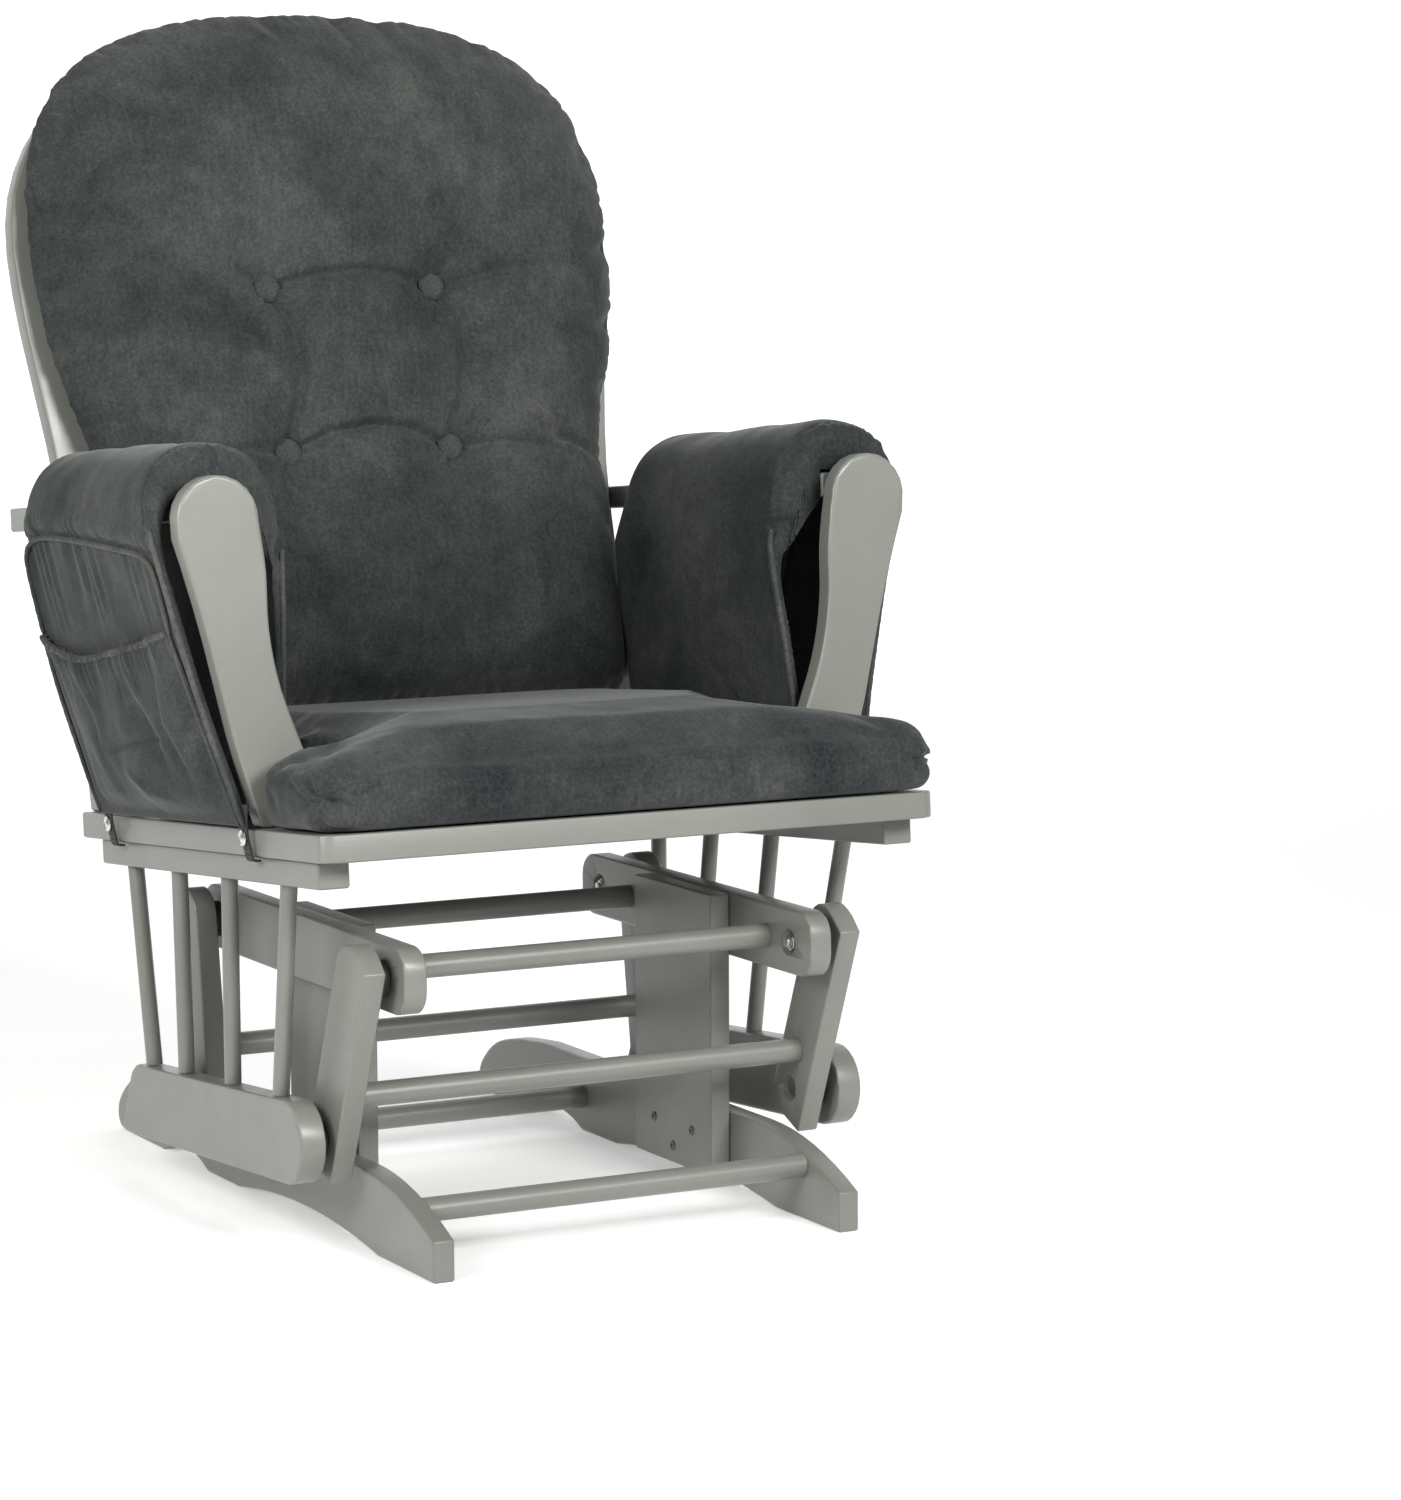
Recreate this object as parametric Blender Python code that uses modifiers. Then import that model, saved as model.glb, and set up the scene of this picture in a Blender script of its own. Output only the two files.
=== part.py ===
"""Glider nursery chair: a hoop-back seat that hangs from its base on two pairs of swinging hangers.

Units are metres, +Z is up and the chair faces -Y. Left and right are the sitter's, so left is +X.
Sizes along Y are measured from the front tip of the runners, and the whole chair hangs from one
empty that carries that tip forward, so that the floor point under the middle of the chair is the
origin. The chair stands in its balanced position: the seat leans back and has swung to the rear.
"""

import math

import bmesh
import bpy
from mathutils import Matrix, Vector

# Driving dimensions ---------------------------------------------------------------------------

GAP = 0.0003                 # between touching pieces
MIDDLE_Y = 0.35386           # from the runners' front tip to the middle of the chair's box
EDGE = 0.0015                # eased edges of every board

# Base
RUNNER_LENGTH = 0.674
RUNNER_HEIGHT = 0.066
RUNNER_IN, RUNNER_OUT = 0.169, 0.187
POST_IN, POST_OUT = 0.1507, 0.1687
POST_FRONT, POST_REAR = 0.182, 0.320
POST_LOW, POST_HIGH = 0.012, 0.250
ARM_IN, ARM_OUT = 0.169, 0.188
ARM_FRONT, ARM_REAR = 0.045, 0.457
ARM_LOW, ARM_HIGH = 0.198, 0.251
ARM_CORNER = 0.020
DOWEL_RADIUS = 0.0098
BASE_FRONT_RAIL = (0.060, 0.044)
BASE_REAR_RAIL = (0.457, 0.031)
ARM_FRONT_RAIL = (0.121, 0.224)
ARM_REAR_RAIL = (0.367, 0.223)

# Swing linkage: pivot points as (y, z), with the chair at rest
FRONT_TOP = (0.084, 0.224)
FRONT_LOW = (0.138, 0.091)
REAR_TOP = (0.422, 0.224)
REAR_LOW = (0.401, 0.082)
HANGER_IN, HANGER_OUT = 0.200, 0.219
HANGER_HALF_WIDTH = 0.026
HANGER_ABOVE, HANGER_BELOW = 0.028, 0.027
HANGER_ROUND_TOP, HANGER_ROUND_LOW = 0.024, 0.030
RAIL_IN, RAIL_OUT = 0.229, 0.250
HANGER_RAIL_REACH = 0.74     # share of the way from the upper to the lower pivot
BOLT_RADIUS = 0.004
BOLT_BORE = 0.0047
BOLT_GRIP = 0.0115           # how deep a bolt's tip sits in the wood it is screwed into
OPEN_BORE = 0.0066           # the rear lower pivot, where the linkage is left open
NUT_RADIUS = 0.0075
NUT_HEIGHT = 0.0055
WASHER_RADIUS = 0.0095
WASHER_THICK = 0.001
CHAMFER = 0.001
POCKET_RADIUS = 0.0115
POCKET_DEPTH = 0.0085
DISC_RADIUS = 0.015
DRILL_OVER = 0.010           # a drill starts this far outside the wood

# Seat frame, tilted back about the front top edge of the seat board
SEAT_TILT = math.radians(4.75)
SEAT_FRONT = (0.0146, 0.349)
BOARD_HALF_WIDTH = 0.267
BOARD_LENGTH = 0.520
BOARD_THICK = 0.0216
UNDER_RAIL_IN, UNDER_RAIL_OUT = 0.234, 0.260
UNDER_RAIL_START, UNDER_RAIL_END = 0.030, 0.494
UNDER_RAIL_THICK = 0.0210
SPINDLE_RADIUS = 0.0069
SPINDLE_TOP_X, SPINDLE_LOW_X = 0.247, 0.2395
SPINDLE_TOPS = (0.130, 0.252, 0.360, 0.4595)
SPINDLE_LOWS = (0.170, 0.270, 0.371, 0.444)
SWING_RAIL_TOP = ((0.140, 0.124), (0.443, 0.1005))

# Arms
PANEL_LEAN = math.radians(2.5)
PANEL_THICK = 0.018
PANEL_MIDDLE = 0.1445        # along the seat, at the panel's foot
ARMREST_IN, ARMREST_OUT = 0.2608, 0.298
ARMREST_LOW, ARMREST_HIGH = 0.240, 0.260
ARMREST_START, ARMREST_END = 0.1545, 0.577

# Back
BACK_TILT = math.radians(15.0)
BACK_FOOT = (0.520, 0.3075)
HOOP_THICK = 0.020
HOOP_WIDTH = 0.045
HOOP_LEG_HALF = 0.260
HOOP_BULGE = 0.021
HOOP_BULGE_START = 0.250
HOOP_SHOULDER = 0.485
HOOP_TOP = 0.690
HOOP_ROUNDNESS = 2.2         # 2 is an ellipse, more is squarer
BACK_RAIL_LOW, BACK_RAIL_HIGH = 0.046, 0.092
SLAT_CENTRES = (-0.141, -0.047, 0.047, 0.141)
SLAT_HALF_WIDTH = 0.021
SLAT_THICK = 0.011
SLAT_TOP_GAP = 0.001

# Cushions
CUSHION_GAP = 0.0005         # under the seat cushion, and behind the back cushion
CUSHION_TOP = 0.067
BACK_CUSHION_FRONT = 0.100
COVER_THICK = 0.0045         # the back cushion's cover, round its light fibre filling
ZIP_HALF_LENGTH, ZIP_HEIGHT, ZIP_WIDTH = 0.150, 0.120, 0.006
PAD_START, PAD_END = 0.156, 0.452

SIDES = (("left", 1), ("right", -1))

# Scene and materials --------------------------------------------------------------------------


def clear_scene():
    """Removes whatever the file opened with."""
    for item in list(bpy.data.objects):
        bpy.data.objects.remove(item, do_unlink=True)


def make_material(name, colour, roughness, metallic):
    """A plain Principled material."""
    material = bpy.data.materials.new(name)
    material.use_nodes = True
    shader = material.node_tree.nodes["Principled BSDF"]
    shader.inputs["Base Color"].default_value = (*colour, 1.0)
    shader.inputs["Roughness"].default_value = roughness
    shader.inputs["Metallic"].default_value = metallic
    return material


def finish_for(name, kind):
    """Each sub-part has a material of its own, from one of a few finishes."""
    finishes = {
        "paint": ((0.24, 0.25, 0.23), 0.42, 0.0),
        "steel": ((0.45, 0.44, 0.42), 0.35, 1.0),
        "disc": ((0.02, 0.02, 0.02), 0.50, 0.0),
        "fabric": ((0.045, 0.055, 0.060), 0.90, 0.0),
    }
    return make_material(name, *finishes[kind])


# Outlines -------------------------------------------------------------------------------------


def arc(centre, radius, start, end, steps=8):
    """Points on a circle from one angle to another, in degrees, both ends included."""
    points = []
    for step in range(steps + 1):
        angle = math.radians(start + (end - start) * step / steps)
        points.append((centre[0] + radius * math.cos(angle), centre[1] + radius * math.sin(angle)))
    return points


def rounded_box(left, low, right, high, radius, steps=5):
    """A rectangle with round corners, anticlockwise from its lower right corner."""
    return (arc((right - radius, low + radius), radius, -90, 0, steps)
            + arc((right - radius, high - radius), radius, 0, 90, steps)
            + arc((left + radius, high - radius), radius, 90, 180, steps)
            + arc((left + radius, low + radius), radius, 180, 270, steps))


def smooth_path(points, steps=5):
    """A smooth open curve through the points, as a Catmull-Rom chain."""
    padded = [points[0]] + list(points) + [points[-1]]
    result = []
    for before, here, there, after in zip(padded, padded[1:], padded[2:], padded[3:]):
        for step in range(steps):
            t = step / steps
            result.append(tuple(
                0.5 * (2 * b + (c - a) * t + (2 * a - 5 * b + 4 * c - d) * t * t
                       + (3 * b - a - 3 * c + d) * t ** 3)
                for a, b, c, d in zip(before, here, there, after)))
    result.append(tuple(points[-1]))
    return result


def smoothstep(value):
    """Eases a value from 0 to 1, flat at both ends."""
    value = min(max(value, 0.0), 1.0)
    return value * value * (3.0 - 2.0 * value)


# Frames of reference --------------------------------------------------------------------------


def side_plane(x):
    """Puts a flat outline upright along the chair: its x runs back, its y runs up."""
    return Matrix(((0, 0, 1, x), (1, 0, 0, 0), (0, 1, 0, 0), (0, 0, 0, 1)))


def leaning_plane(foot, lean, forward=0.0):
    """Puts a flat outline across the chair, leaning back: its x runs sideways, its y runs up."""
    y = foot[0] - forward * math.cos(lean)
    z = foot[1] + forward * math.sin(lean)
    return Matrix(((1, 0, 0, 0),
                   (0, math.sin(lean), -math.cos(lean), y),
                   (0, math.cos(lean), math.sin(lean), z),
                   (0, 0, 0, 1)))


def seat_point(along, above):
    """(y, z) of a point given along the seat board and above its top face."""
    cosine, sine = math.cos(SEAT_TILT), math.sin(SEAT_TILT)
    return (SEAT_FRONT[0] + along * cosine + above * sine,
            SEAT_FRONT[1] - along * sine + above * cosine)


def seat_plan(above):
    """Lays a flat outline on the seat: its x runs sideways, its y runs back along the seat."""
    y, z = seat_point(0.0, above)
    cosine, sine = math.cos(SEAT_TILT), math.sin(SEAT_TILT)
    return Matrix(((1, 0, 0, 0), (0, cosine, sine, y), (0, -sine, cosine, z), (0, 0, 0, 1)))


# Builders -------------------------------------------------------------------------------------


def link(obj, kind, parent):
    """Gives a finished object its place in the collection, its material and its parent."""
    CHAIR.objects.link(obj)
    obj.data.materials.clear()
    obj.data.materials.append(finish_for(obj.name, kind))
    place = obj.matrix_world.copy()
    obj.parent = parent
    obj.matrix_parent_inverse = parent.matrix_world.inverted() @ ORIGIN.matrix_world
    obj.matrix_basis = place
    return obj


def bevel_edges(obj, width, segments=1):
    bevel = obj.modifiers.new("eased edges", "BEVEL")
    bevel.width = width
    bevel.segments = segments
    bevel.limit_method = "ANGLE"
    bevel.angle_limit = math.radians(40)
    bevel.use_clamp_overlap = True


def flat_mesh(name, outline, thickness):
    """An outline filled and extruded to its thickness, as a mesh."""
    curve = bpy.data.curves.new(name + " outline", "CURVE")
    curve.dimensions = "2D"
    curve.fill_mode = "BOTH"
    curve.extrude = thickness / 2
    spline = curve.splines.new("POLY")
    spline.points.add(len(outline) - 1)
    for point, (x, y) in zip(spline.points, outline):
        point.co = (x, y, 0.0, 1.0)
    spline.use_cyclic_u = True
    guide = bpy.data.objects.new(name + " outline", curve)
    bpy.context.scene.collection.objects.link(guide)
    bpy.context.view_layer.update()
    graph = bpy.context.evaluated_depsgraph_get()
    mesh = bpy.data.meshes.new_from_object(guide.evaluated_get(graph))
    bpy.data.objects.remove(guide, do_unlink=True)
    solid = bmesh.new()
    solid.from_mesh(mesh)
    bmesh.ops.remove_doubles(solid, verts=solid.verts, dist=0.00001)
    bmesh.ops.dissolve_limit(solid, angle_limit=math.radians(1), verts=solid.verts, edges=solid.edges)
    bmesh.ops.recalc_face_normals(solid, faces=solid.faces)
    solid.to_mesh(mesh)
    solid.free()
    mesh.name = name
    return mesh


def board(name, outline, thickness, plane, parent, kind="paint", edge=EDGE, segments=1):
    """A flat piece with eased edges, placed on a plane."""
    obj = bpy.data.objects.new(name, flat_mesh(name, outline, thickness))
    obj.matrix_world = plane
    link(obj, kind, parent)
    bevel_edges(obj, edge, segments)
    return obj


def block(name, low, high, plane, parent, kind="paint", edge=EDGE):
    """A plain rectangular board between two corners given in a plane's own directions."""
    size = Vector(high) - Vector(low)
    solid = bmesh.new()
    bmesh.ops.create_cube(solid, size=1.0)
    bmesh.ops.scale(solid, vec=size, verts=solid.verts)
    bmesh.ops.translate(solid, vec=(Vector(high) + Vector(low)) / 2, verts=solid.verts)
    mesh = bpy.data.meshes.new(name)
    solid.to_mesh(mesh)
    solid.free()
    obj = bpy.data.objects.new(name, mesh)
    obj.matrix_world = plane
    link(obj, kind, parent)
    bevel_edges(obj, edge)
    return obj


def dowel(name, start, end, radius, parent, kind="paint", sides=20):
    """A round bar between two points."""
    start, end = Vector(start), Vector(end)
    solid = bmesh.new()
    bmesh.ops.create_cone(solid, cap_ends=True, segments=sides, radius1=radius, radius2=radius,
                          depth=(end - start).length)
    mesh = bpy.data.meshes.new(name)
    solid.to_mesh(mesh)
    solid.free()
    mesh.shade_smooth()
    mesh.set_sharp_from_angle(angle=math.radians(40))
    obj = bpy.data.objects.new(name, mesh)
    turn = (end - start).to_track_quat("Z", "Y").to_matrix().to_4x4()
    obj.matrix_world = Matrix.Translation((start + end) / 2) @ turn
    return link(obj, kind, parent)


def turned(name, profile, sideways, pivot, parent, kind, sides=16):
    """A turned piece on an axis along X; the profile gives (distance outward, radius)."""
    mesh = bpy.data.meshes.new(name)
    mesh.from_pydata([(radius, 0.0, outward) for outward, radius in profile],
                     [(i, i + 1) for i in range(len(profile) - 1)], [])
    obj = bpy.data.objects.new(name, mesh)
    facing = Matrix.Identity(4) if sideways > 0 else Matrix.Rotation(math.pi, 4, "Y")
    obj.matrix_world = Matrix.Translation((0, pivot[0], pivot[1])) @ side_plane(0.0) @ facing
    link(obj, kind, parent)
    screw = obj.modifiers.new("turned", "SCREW")
    screw.steps = sides
    screw.render_steps = sides
    screw.use_merge_vertices = True
    screw.merge_threshold = 0.00005
    screw.use_smooth_shade = False
    return obj


def trim(obj, axis, end, point, normal):
    """Slides the corners at one end of a piece along its own axis onto a plane."""
    axis = Vector(axis)
    local = obj.matrix_basis.inverted()
    here = local @ Vector(point)
    facing = (local.to_3x3() @ Vector(normal)).normalized()
    for corner in obj.data.vertices:
        if abs(corner.co.dot(axis) - end) < 0.0001:
            corner.co += axis * ((here - corner.co).dot(facing) / axis.dot(facing))


def trim_to_seat(obj):
    """Cuts the foot of an upright outline to stand flat on the seat board."""
    y, z = seat_point(0.0, GAP)
    trim(obj, (0.0, 1.0, 0.0), 0.0, (0.0, y, z), (0.0, math.sin(SEAT_TILT), math.cos(SEAT_TILT)))


def cut_with(obj, mesh, place, parent):
    """Takes a cutter's shape out of a piece; returns the cutter, which moves with the piece."""
    cutter = bpy.data.objects.new(mesh.name, mesh)
    CUTTERS.objects.link(cutter)
    cutter.parent = parent
    cutter.matrix_parent_inverse = parent.matrix_world.inverted() @ ORIGIN.matrix_world
    cutter.matrix_basis = place
    cutter.hide_render = True
    cutter.display_type = "WIRE"
    cut = obj.modifiers.new("cut", "BOOLEAN")
    cut.operation = "DIFFERENCE"
    cut.object = cutter
    return cutter


def bore(obj, x_start, x_end, pivot, radius, parent):
    """Drills a board along X at a pivot."""
    low, high = min(x_start, x_end), max(x_start, x_end)
    solid = bmesh.new()
    bmesh.ops.create_cone(solid, cap_ends=True, segments=20, radius1=radius, radius2=radius,
                          depth=high - low)
    mesh = bpy.data.meshes.new(obj.name + " drill")
    solid.to_mesh(mesh)
    solid.free()
    middle = Matrix.Translation(((low + high) / 2, pivot[0], pivot[1]))
    cut_with(obj, mesh, middle @ Matrix.Rotation(math.pi / 2, 4, "Y"), parent)


def empty_at(name, pivot, parent):
    """An empty on a joint's axis, given as (y, z) in the chair's own measures."""
    obj = bpy.data.objects.new(name, None)
    CHAIR.objects.link(obj)
    obj.parent = parent
    obj.matrix_parent_inverse = parent.matrix_world.inverted() @ ORIGIN.matrix_world
    obj.location = (0.0, pivot[0], pivot[1])
    bpy.context.view_layer.update()
    return obj


# Base -----------------------------------------------------------------------------------------


def runner_outline():
    """Side view of a runner: it bears on three feet, with a long and a short arch between."""
    nose_length, nose_curve, nose_steps = 0.140, 1.70, 8
    nose = []
    for step in range(nose_steps + 1):
        y = nose_length * step / nose_steps
        nose.append((y, RUNNER_HEIGHT - nose_curve * (nose_length - y) ** 2))
    tail = smooth_path([(0.535, RUNNER_HEIGHT), (0.598, 0.060), (0.640, 0.049), (0.667, 0.030),
                        (RUNNER_LENGTH, 0.014), (0.668, 0.003), (0.656, 0.0)], 4)
    short_arch = arc((0.513, -0.109), 0.1207, 64.6, 115.4, 6)
    long_arch = arc((0.251, -0.889), 0.9006, 80.8, 99.2, 12)
    return [(0.0, 0.0)] + nose + tail + short_arch + long_arch


def build_base(parent):
    """Two sides of runner, post and level arm, joined by four round rails."""
    arm_outline = rounded_box(ARM_FRONT, ARM_LOW, ARM_REAR, ARM_HIGH, ARM_CORNER)
    post_half = (POST_OUT - POST_IN) / 2
    for side, sign in SIDES:
        board("runner_" + side, runner_outline(), RUNNER_OUT - RUNNER_IN,
              side_plane(sign * (RUNNER_IN + RUNNER_OUT) / 2), parent)
        block("post_" + side, (-post_half, POST_FRONT, POST_LOW), (post_half, POST_REAR, POST_HIGH),
              Matrix.Translation((sign * (POST_IN + POST_OUT) / 2, 0, 0)), parent)
        arm = board("base_arm_" + side, arm_outline, ARM_OUT - ARM_IN,
                    side_plane(sign * (ARM_IN + ARM_OUT) / 2), parent)
        for pivot in (FRONT_TOP, REAR_TOP):
            bore(arm, sign * (ARM_IN - DRILL_OVER), sign * (ARM_OUT + DRILL_OVER), pivot, BOLT_BORE,
                 parent)
            bore(arm, sign * (ARM_IN - DRILL_OVER), sign * (ARM_IN + POCKET_DEPTH), pivot,
                 POCKET_RADIUS, parent)
    rails = {"base_front_rail": BASE_FRONT_RAIL, "base_rear_rail": BASE_REAR_RAIL,
             "arm_front_rail": ARM_FRONT_RAIL, "arm_rear_rail": ARM_REAR_RAIL}
    for name, (y, z) in rails.items():
        reach = RUNNER_IN - GAP
        dowel(name, (-reach, y, z), (reach, y, z), DOWEL_RADIUS, parent)


# Hangers --------------------------------------------------------------------------------------


def hanger_outline(top, low, straight_side):
    """A hanger seen from the side: one straight edge, the other rounded at both ends."""
    axis = Vector(low) - Vector(top)
    length = axis.length
    axis.normalize()
    across = Vector((-axis.y, axis.x)) * straight_side
    half, above, below = HANGER_HALF_WIDTH, HANGER_ABOVE, length + HANGER_BELOW
    local = [(half, below), (half, -above + 0.008), (0.010, -above + 0.0015)]
    local += arc((HANGER_ROUND_TOP - half, HANGER_ROUND_TOP - above), HANGER_ROUND_TOP, -80, -180, 6)
    local += arc((HANGER_ROUND_LOW - half, below - HANGER_ROUND_LOW), HANGER_ROUND_LOW, 180, 90, 6)
    return [tuple(Vector(top) + across * u + axis * t) for u, t in local]


def upper_bolt_profile():
    """A stud from the hanger through the arm, with a washer and a nut in the arm's pocket."""
    tip = HANGER_IN + BOLT_GRIP - 0.0015
    washer = ARM_IN + POCKET_DEPTH - GAP
    nut = washer - WASHER_THICK
    nut_face = nut - NUT_HEIGHT
    end = ARM_IN - 0.0024
    return [(tip, 0.0), (tip, BOLT_RADIUS), (washer, BOLT_RADIUS), (washer, WASHER_RADIUS),
            (nut, WASHER_RADIUS), (nut, NUT_RADIUS), (nut_face, NUT_RADIUS - CHAMFER),
            (nut_face, BOLT_RADIUS - 0.0002), (end, BOLT_RADIUS - 0.0006), (end, 0.0)]


def lower_bolt_profile():
    """A bolt from the hanger's inner face into the swing rail, its head in the pocket."""
    tip = RAIL_IN + BOLT_GRIP
    bed = HANGER_IN + POCKET_DEPTH - GAP
    head = bed - NUT_HEIGHT
    return [(tip, 0.0), (tip, BOLT_RADIUS), (bed, BOLT_RADIUS), (bed, NUT_RADIUS),
            (head + CHAMFER, NUT_RADIUS), (head, NUT_RADIUS - CHAMFER), (head, 0.0)]


def disc_profile(start, end):
    """A bearing disc that keeps two boards apart, bored for the bolt."""
    start, end = start + GAP, end - GAP
    return [(end, BOLT_BORE), (end, DISC_RADIUS - CHAMFER), (end - CHAMFER, DISC_RADIUS),
            (start + CHAMFER, DISC_RADIUS), (start, DISC_RADIUS - CHAMFER), (start, BOLT_BORE),
            (end, BOLT_BORE)]


def build_hanger_pair(end, top, low, straight_side, low_bore, hanger_axis, seat_axis):
    """Two hangers with the round rail that joins them, and the pivots at both their ends."""
    outline = hanger_outline(top, low, straight_side)
    for side, sign in SIDES:
        label = f"{end}_hanger_{side}"
        hanger = board(label, outline, HANGER_OUT - HANGER_IN,
                       side_plane(sign * (HANGER_IN + HANGER_OUT) / 2), hanger_axis)
        start = sign * (HANGER_IN - DRILL_OVER)
        bore(hanger, start, sign * (HANGER_IN + BOLT_GRIP), top, BOLT_RADIUS + GAP, hanger_axis)
        bore(hanger, start, sign * (HANGER_OUT + DRILL_OVER), low, low_bore, hanger_axis)
        bore(hanger, start, sign * (HANGER_IN + POCKET_DEPTH), low, POCKET_RADIUS, hanger_axis)
        turned(f"{end}_upper_bolt_{side}", upper_bolt_profile(), sign, top, hanger_axis, "steel")
        turned(f"{end}_upper_disc_{side}", disc_profile(ARM_OUT, HANGER_IN), sign, top, hanger_axis,
               "disc", 20)
        turned(f"{end}_lower_bolt_{side}", lower_bolt_profile(), sign, low, seat_axis, "steel")
        turned(f"{end}_lower_disc_{side}", disc_profile(HANGER_OUT, RAIL_IN), sign, low, seat_axis,
               "disc", 20)
    reach = HANGER_IN - GAP
    y = top[0] + (low[0] - top[0]) * HANGER_RAIL_REACH
    z = top[1] + (low[1] - top[1]) * HANGER_RAIL_REACH
    dowel(end + "_hanger_rail", (-reach, y, z), (reach, y, z), DOWEL_RADIUS, hanger_axis)


# Swinging seat frame --------------------------------------------------------------------------


def swing_rail_outline():
    """A long board that hangs from both hangers: round nose, tapering to a cut rear end."""
    nose = arc(FRONT_LOW, 0.033, 262, 86, 12)
    tail = arc((0.452, 0.0745), 0.0255, 100, 30, 4) + [(0.496, 0.040), (0.490, 0.037), (0.447, 0.0385)]
    return nose + tail


def build_spindles(parent):
    """Four spindles a side, fanned out, between the swing rail and the rail under the seat."""
    (y0, z0), (y1, z1) = SWING_RAIL_TOP
    slope = (z1 - z0) / (y1 - y0)
    rail_normal = (0.0, -slope, 1.0)
    under = -BOARD_THICK - GAP - UNDER_RAIL_THICK
    high_y, high_z = seat_point(0.0, under - GAP)
    seat_normal = (0.0, math.sin(SEAT_TILT), math.cos(SEAT_TILT))
    for side, sign in SIDES:
        for number, (top, low) in enumerate(zip(SPINDLE_TOPS, SPINDLE_LOWS), 1):
            low_z = z0 + slope * (low - y0) + GAP
            top_z = high_z - math.tan(SEAT_TILT) * (top - high_y)
            obj = dowel(f"spindle_{side}_{number}", (sign * SPINDLE_LOW_X, low, low_z),
                        (sign * SPINDLE_TOP_X, top, top_z), SPINDLE_RADIUS, parent, sides=16)
            half = obj.dimensions.z / 2
            trim(obj, (0.0, 0.0, 1.0), -half, (0.0, low, low_z), rail_normal)
            trim(obj, (0.0, 0.0, 1.0), half, (0.0, high_y, high_z), seat_normal)


def board_outline():
    """The seat board in plan, with its two front corners cut off."""
    half, cut_x, cut_y = BOARD_HALF_WIDTH, 0.012, 0.009
    right = [(half - cut_x, 0.0), (half, cut_y), (half, BOARD_LENGTH)]
    return right + [(-x, y) for x, y in reversed(right)]


def build_seat_frame(parent):
    """The swing rails, the spindles on them, and the seat board on its two under rails."""
    for side, sign in SIDES:
        board("swing_rail_" + side, swing_rail_outline(), RAIL_OUT - RAIL_IN,
              side_plane(sign * (RAIL_IN + RAIL_OUT) / 2), parent)
        rail = bpy.data.objects["swing_rail_" + side]
        for pivot in (FRONT_LOW, REAR_LOW):
            bore(rail, sign * (RAIL_IN - DRILL_OVER), sign * (RAIL_IN + BOLT_GRIP + CHAMFER), pivot,
                 BOLT_RADIUS + GAP, parent)
        high = -BOARD_THICK - GAP
        ends = sorted((sign * UNDER_RAIL_IN, sign * UNDER_RAIL_OUT))
        block("under_rail_" + side, (ends[0], UNDER_RAIL_START, high - UNDER_RAIL_THICK),
              (ends[1], UNDER_RAIL_END, high), seat_plan(0.0), parent)
    build_spindles(parent)
    board("seat_board", board_outline(), BOARD_THICK, seat_plan(-BOARD_THICK / 2), parent)


# Arms -----------------------------------------------------------------------------------------


def panel_outline(sign):
    """Front view of an arm panel: wide foot, narrow waist and a round head, leaning out."""
    inner = smooth_path([(0.200, 0.0), (0.219, 0.050), (0.240, 0.108), (0.2485, 0.155),
                         (0.2495, 0.200), (0.2545, 0.241)], 4)
    head = arc((0.2885, 0.241), 0.034, 170, 5, 10)
    outer = smooth_path([(0.3215, 0.226), (0.3120, 0.195), (0.2985, 0.145), (0.2820, 0.073),
                         (0.2610, 0.0)], 4)
    return [(sign * x, y) for x, y in inner + head + outer]


def build_arms(parent):
    """A shaped front panel and a hidden level board for each arm."""
    foot = seat_point(PANEL_MIDDLE, 0.0)
    for side, sign in SIDES:
        panel = board("arm_panel_" + side, panel_outline(sign), PANEL_THICK,
                      leaning_plane(foot, PANEL_LEAN), parent, edge=0.0025, segments=2)
        trim_to_seat(panel)
        ends = sorted((sign * ARMREST_IN, sign * ARMREST_OUT))
        block("armrest_" + side, (ends[0], ARMREST_START, ARMREST_LOW),
              (ends[1], ARMREST_END, ARMREST_HIGH), seat_plan(0.0), parent)


# Back -----------------------------------------------------------------------------------------


def hoop_half_width(height, inset):
    """Half the hoop's width at a height above its foot; the inset moves the edge inward."""
    bulge = HOOP_BULGE * smoothstep((height - HOOP_BULGE_START) / (HOOP_SHOULDER - HOOP_BULGE_START))
    return HOOP_LEG_HALF + bulge - inset


def hoop_arch(inset, steps=28):
    """The hoop's edge from the right foot over the top to the left foot."""
    half = HOOP_LEG_HALF + HOOP_BULGE - inset
    rise = HOOP_TOP - HOOP_SHOULDER - inset
    bulge_steps = 7
    heights = [0.0] + [HOOP_BULGE_START + (HOOP_SHOULDER - HOOP_BULGE_START) * step / bulge_steps
                       for step in range(bulge_steps)]
    left = [(hoop_half_width(height, inset), height) for height in heights]
    crown = []
    for step in range(steps + 1):
        angle = math.pi * step / steps
        cosine, sine = math.cos(angle), math.sin(angle)
        crown.append((half * math.copysign(abs(cosine) ** (2 / HOOP_ROUNDNESS), cosine),
                      HOOP_SHOULDER + rise * abs(sine) ** (2 / HOOP_ROUNDNESS)))
    return left + crown + [(-x, y) for x, y in reversed(left)]


def crown_height(x, inset):
    """Height of the hoop's inner edge above its foot, over a point beside the middle."""
    half = HOOP_LEG_HALF + HOOP_BULGE - inset
    rise = HOOP_TOP - HOOP_SHOULDER - inset
    return HOOP_SHOULDER + rise * (1 - abs(x / half) ** HOOP_ROUNDNESS) ** (1 / HOOP_ROUNDNESS)


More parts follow.
